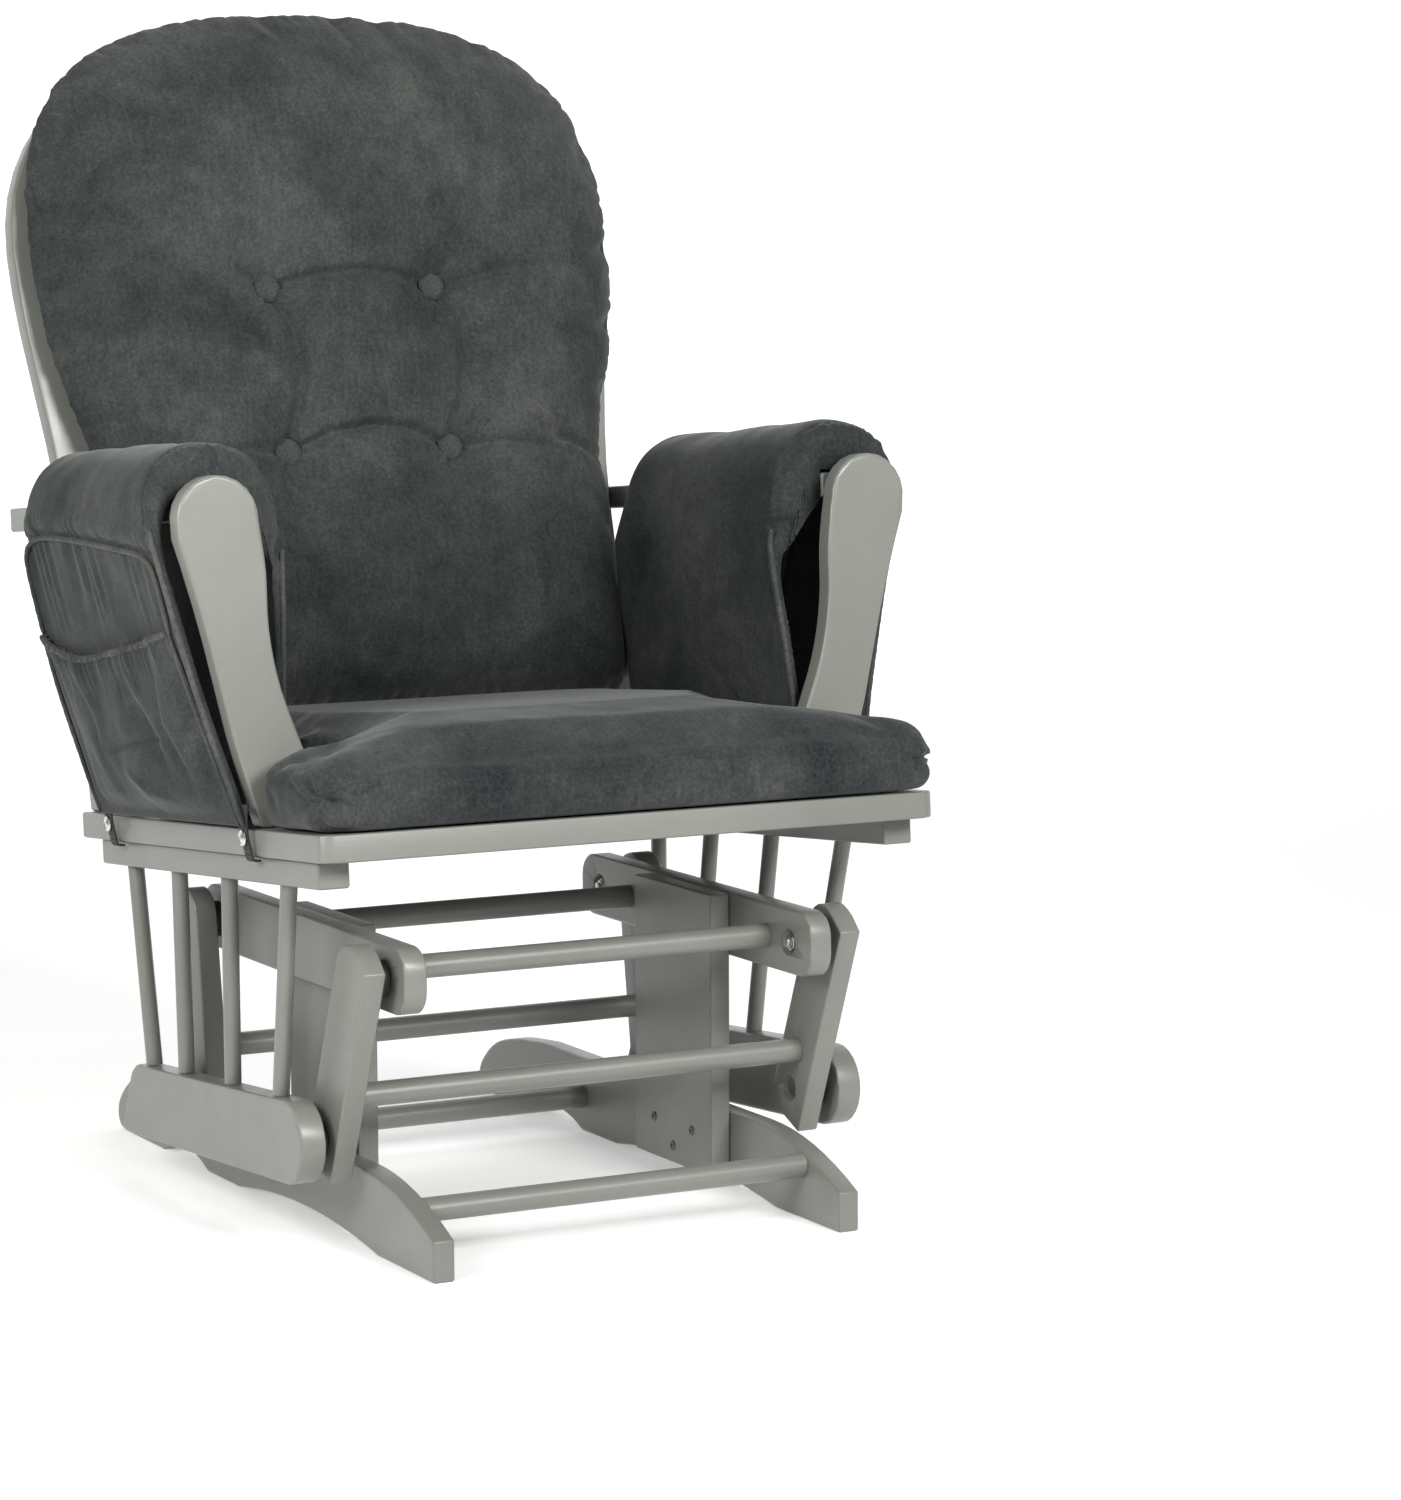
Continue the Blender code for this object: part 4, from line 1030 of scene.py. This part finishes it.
def build_straps(side, sign):
    """Elastic loops at the flap's lower corners, hooked round the seat board and snapped."""
    steps = 26
    line = smooth_curve([(0.2755, 0.020), (0.2752, 0.006), (0.2745, -0.004), (0.2720, -0.016),
                         (0.2700, -0.0235), (0.2640, -0.0245)], steps)
    slope = np.gradient(line, axis=0)
    slope /= np.linalg.norm(slope, axis=1)[:, None]
    half_thick = np.column_stack([-slope[:, 1], slope[:, 0]]) * 0.0008
    width = np.interp(np.linspace(0, 1, steps), [0, 0.4, 1.0], [0.012, 0.0075, 0.0060])
    across = np.linspace(-1, 1, 9)[:, None] * width
    cap = [(0.0, 0.0), (0.0062, 0.0), (0.0066, 0.0008), (0.0062, 0.0018), (0.0052, 0.0022),
           (0.0044, 0.0016), (0.0030, 0.0024), (0.0, 0.0030)]
    for label, v in STRAP_PLACES:
        outer, inner = line + half_thick, line - half_thick
        strap = shell(f"strap_{label}_{side}", seat_to_world(sign * outer[:, 0], v + across, outer[:, 1]),
                      seat_to_world(sign * inner[:, 0], v + across, inner[:, 1]), STRAP)
        place = facing(seat_to_world(sign * 0.2755, v, -0.006), (sign, 0.0, 0.0))
        snap = turned_piece(f"snap_{label}_{side}", cap, place, BRIGHT_STEEL, 28)
        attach(strap, "seat")
        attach(snap, "seat")


# Fasteners ---------------------------------------------------------------------


def hex_piece(name, radius, low, high, place):
    """A hexagonal nut or head with eased corners."""
    chamfer = 0.0008
    vertices = []
    for r, z in ((radius - chamfer, low), (radius, low + chamfer * 0.6), (radius, high - chamfer * 0.6),
                 (radius - chamfer, high)):
        for k in range(6):
            angle = math.radians(60 * k + 30)
            vertices.append((r * math.cos(angle), r * math.sin(angle), z))
    faces = grid_faces(4, 6, wrap=True) + [tuple(range(6)), tuple(18 + k for k in range(6))]
    obj = add_object(name, vertices, faces, STEEL, smooth=False)
    obj.matrix_world = place
    return obj


def thread(name, radius, low, high, place):
    """A threaded stud end."""
    turns = int((high - low) / 0.0010)
    profile = [(0.0, low)]
    for k in range(turns):
        z = low + (high - low) * (k + 0.5) / turns
        profile += [(radius * 0.86, z - 0.0002), (radius, z + 0.0002)]
    profile += [(radius * 0.80, high), (0.0, high)]
    return turned_piece(name, profile, place, STEEL, 20)


def shank(start, end, place):
    """A bolt's plain part."""
    return turned_piece("shank", [(0.0, start), (0.0040, start), (0.0040, end), (0.0, end)], place,
                        STEEL, 20)


def bolt_place(node, reach, sign):
    """A placement on a bolt's axis, at a distance from the middle, facing inward."""
    low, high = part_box(node)
    return facing((sign * reach, (low.y + high.y) / 2, (low.z + high.z) / 2), (-sign, 0.0, 0.0))


def build_upper_nut(end, side, sign):
    """The washer, locknut and stud end in a base arm's pocket."""
    bolt = f"{end}_upper_bolt_{side}"
    arm_low, arm_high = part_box("base_arm_" + side)
    place = bolt_place(bolt, min(abs(arm_low.x), abs(arm_high.x)) + 0.0082, sign)
    washer = turned_piece("washer", [(0.0, 0.0), (0.0095, 0.0), (0.0098, 0.0004), (0.0095, 0.0010),
                                     (0.0, 0.0010)], place, STEEL, 32)
    nut = hex_piece("nut", 0.0078, 0.0011, 0.0068, place)
    collar = turned_piece("collar", [(0.0, 0.0066), (0.0060, 0.0066), (0.0056, 0.0080),
                                     (0.0046, 0.0086), (0.0, 0.0086)], place, STEEL, 24)
    stud = thread("stud", 0.0038, 0.0080, 0.0112, place)
    pieces = [washer, nut, collar, stud, shank(-0.0230, 0.0, place)]
    piece = join(f"{end}_upper_nut_{side}", pieces)
    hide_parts(bolt)
    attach(piece, end + "_hanger")


def build_lower_head(end, side, sign):
    """The flanged head of the bolt between a hanger and its swing rail."""
    bolt = f"{end}_lower_bolt_{side}"
    low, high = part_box(bolt)
    head_high = 0.0055
    place = bolt_place(bolt, min(abs(low.x), abs(high.x)) + head_high, sign)
    head = hex_piece("head", 0.0074, 0.0, 0.0052, place)
    rim = turned_piece("rim", [(0.0, -0.0008), (0.0088, -0.0008), (0.0090, 0.0), (0.0086, 0.0006),
                               (0.0, 0.0006)], place, STEEL, 28)
    pieces = [head, rim, shank(head_high - abs(high.x - low.x), 0.0, place)]
    piece = join(f"{end}_lower_head_{side}", pieces)
    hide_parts(bolt)
    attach(piece, "seat")


def build_fasteners():
    """Nuts on the arms' studs, bolt heads in the hangers, and the posts' screws."""
    for end in ("front", "rear"):
        for side, sign in SIDES:
            build_upper_nut(end, side, sign)
            build_lower_head(end, side, sign)
    build_screws()


def build_screws():
    """Three countersunk screws low on each post's inner face."""
    profile = [(0.0, -0.0002), (0.0043, -0.0002), (0.0041, 0.0006), (0.0034, 0.0012),
               (0.0017, 0.0012), (0.0014, 0.0004), (0.0, 0.0004)]
    for side, sign in SIDES:
        low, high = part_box("post_" + side)
        face = min(abs(low.x), abs(high.x))
        middle = (low.y + high.y) / 2
        for number, (dy, z) in enumerate(((-0.034, 0.046), (0.034, 0.046), (0.0, 0.027)), 1):
            place = facing((sign * face, middle + dy, z), (-sign, 0.0, 0.0))
            piece = turned_piece(f"post_screw_{side}_{number}", profile, place, DARK_STEEL, 24)
            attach(piece, "base")


# Stage, light and camera -------------------------------------------------------

CAMERA_PLACE = (-1.5867, -3.4184, 0.820)
CAMERA_AZIMUTH, CAMERA_ELEVATION, CAMERA_ROLL = -28.03, 6.952, -0.20
CAMERA_LENS = 108.2
FLOOR_HALF = 9
BACKDROP_AWAY, BACKDROP_HALF, BACKDROP_HIGH = 3.4, 7, 6.0


def glowing(name, colour, strength):
    """A matt white surface that also glows a little, like a lit studio sweep."""
    n = Nodes(name)
    tone = n.ramp(n.noise(0.8, 2.0), [(0.3, tuple(0.97 * c for c in colour)), (0.7, colour)])
    return n.finish(Base_Color=tone, Roughness=0.9, Specular_IOR_Level=0.05,
                    Emission_Color=(1.0, 1.0, 1.0, 1.0), Emission_Strength=strength)


def stage_plane(name, corners, material):
    """A flat piece of the studio."""
    mesh = bpy.data.meshes.new(name)
    mesh.from_pydata(corners, [], [(0, 1, 2, 3)])
    plane = link(name, mesh)
    mesh.materials.append(material)


def build_stage():
    """A pale floor, a lit white backdrop across the view behind the chair, and a soft sky."""
    far = FLOOR_HALF
    stage_plane("floor", [(-far, -far, 0), (far, -far, 0), (far, far, 0), (-far, far, 0)],
                glowing("studio_floor", (0.90, 0.90, 0.90), 0.30))
    a = math.radians(CAMERA_AZIMUTH)
    across = Vector((math.cos(a), math.sin(a), 0.0))
    behind = Vector((-math.sin(a), math.cos(a), 0.0)) * BACKDROP_AWAY
    low = [behind - across * BACKDROP_HALF, behind + across * BACKDROP_HALF]
    high = [p + Vector((0.0, 0.0, BACKDROP_HIGH)) for p in reversed(low)]
    stage_plane("backdrop", [tuple(p) for p in low + high],
                glowing("studio_backdrop", (0.5, 0.5, 0.5), 0.85))
    world = bpy.data.worlds.new("studio")
    world.use_nodes = True
    sky = world.node_tree.nodes["Background"].inputs
    sky["Color"].default_value = (1.0, 1.0, 1.0, 1.0)
    sky["Strength"].default_value = 0.40
    bpy.context.scene.world = world


def area_light(name, place, target, size, energy, colour, spread):
    """A rectangular light aimed at a point."""
    light = bpy.data.lights.new(name, "AREA")
    light.shape = "RECTANGLE"
    light.size, light.size_y = size
    light.energy = energy
    light.color = colour
    light.spread = math.radians(spread)
    obj = link(name, light)
    obj.location = place
    direction = Vector(target) - Vector(place)
    obj.rotation_mode = "QUATERNION"
    obj.rotation_quaternion = direction.to_track_quat("-Z", "Y")


def build_lights():
    """A front light aimed at the back and the arms, and a softer one beside the near arm."""
    area_light("front", (0.6, -3.0, 1.9), (0.0, 0.0, 0.85), (1.3, 0.9), 21, (1.0, 0.99, 0.97), 70)
    area_light("side", (-1.7, -0.9, 1.1), (-0.3, 0.0, 0.55), (1.0, 0.7), 12, (1.0, 0.99, 0.96), 110)


def build_camera():
    """The camera stands low in front of the chair's right arm and looks slightly down."""
    a, e, r = (math.radians(k) for k in (CAMERA_AZIMUTH, CAMERA_ELEVATION, CAMERA_ROLL))
    back = Vector((math.sin(a) * math.cos(e), -math.cos(a) * math.cos(e), math.sin(e)))
    right = (-back).cross(Vector((0, 0, 1))).normalized()
    up = right.cross(-back)
    turned_right = right * math.cos(r) + up * math.sin(r)
    turned_up = up * math.cos(r) - right * math.sin(r)
    data = bpy.data.cameras.new("camera")
    data.sensor_width = 36.0
    data.lens = CAMERA_LENS
    camera = link("camera", data)
    columns = Matrix((turned_right, turned_up, back)).transposed().to_4x4()
    camera.matrix_world = Matrix.Translation(CAMERA_PLACE) @ columns
    bpy.context.scene.camera = camera


def main():
    """Builds the studio, then the chair's wood, cushions, arm covers and fasteners."""
    build_camera()
    build_stage()
    build_lights()
    finish_frame()
    build_buttons(build_back_cushion())
    build_seat_cushion()
    for side, sign in SIDES:
        build_arm_cover(side, sign)
        build_pocket(side, sign)
        build_hems(side, sign)
        build_straps(side, sign)
    build_fasteners()


main()
bpy.context.scene.view_settings.view_transform = "Standard"
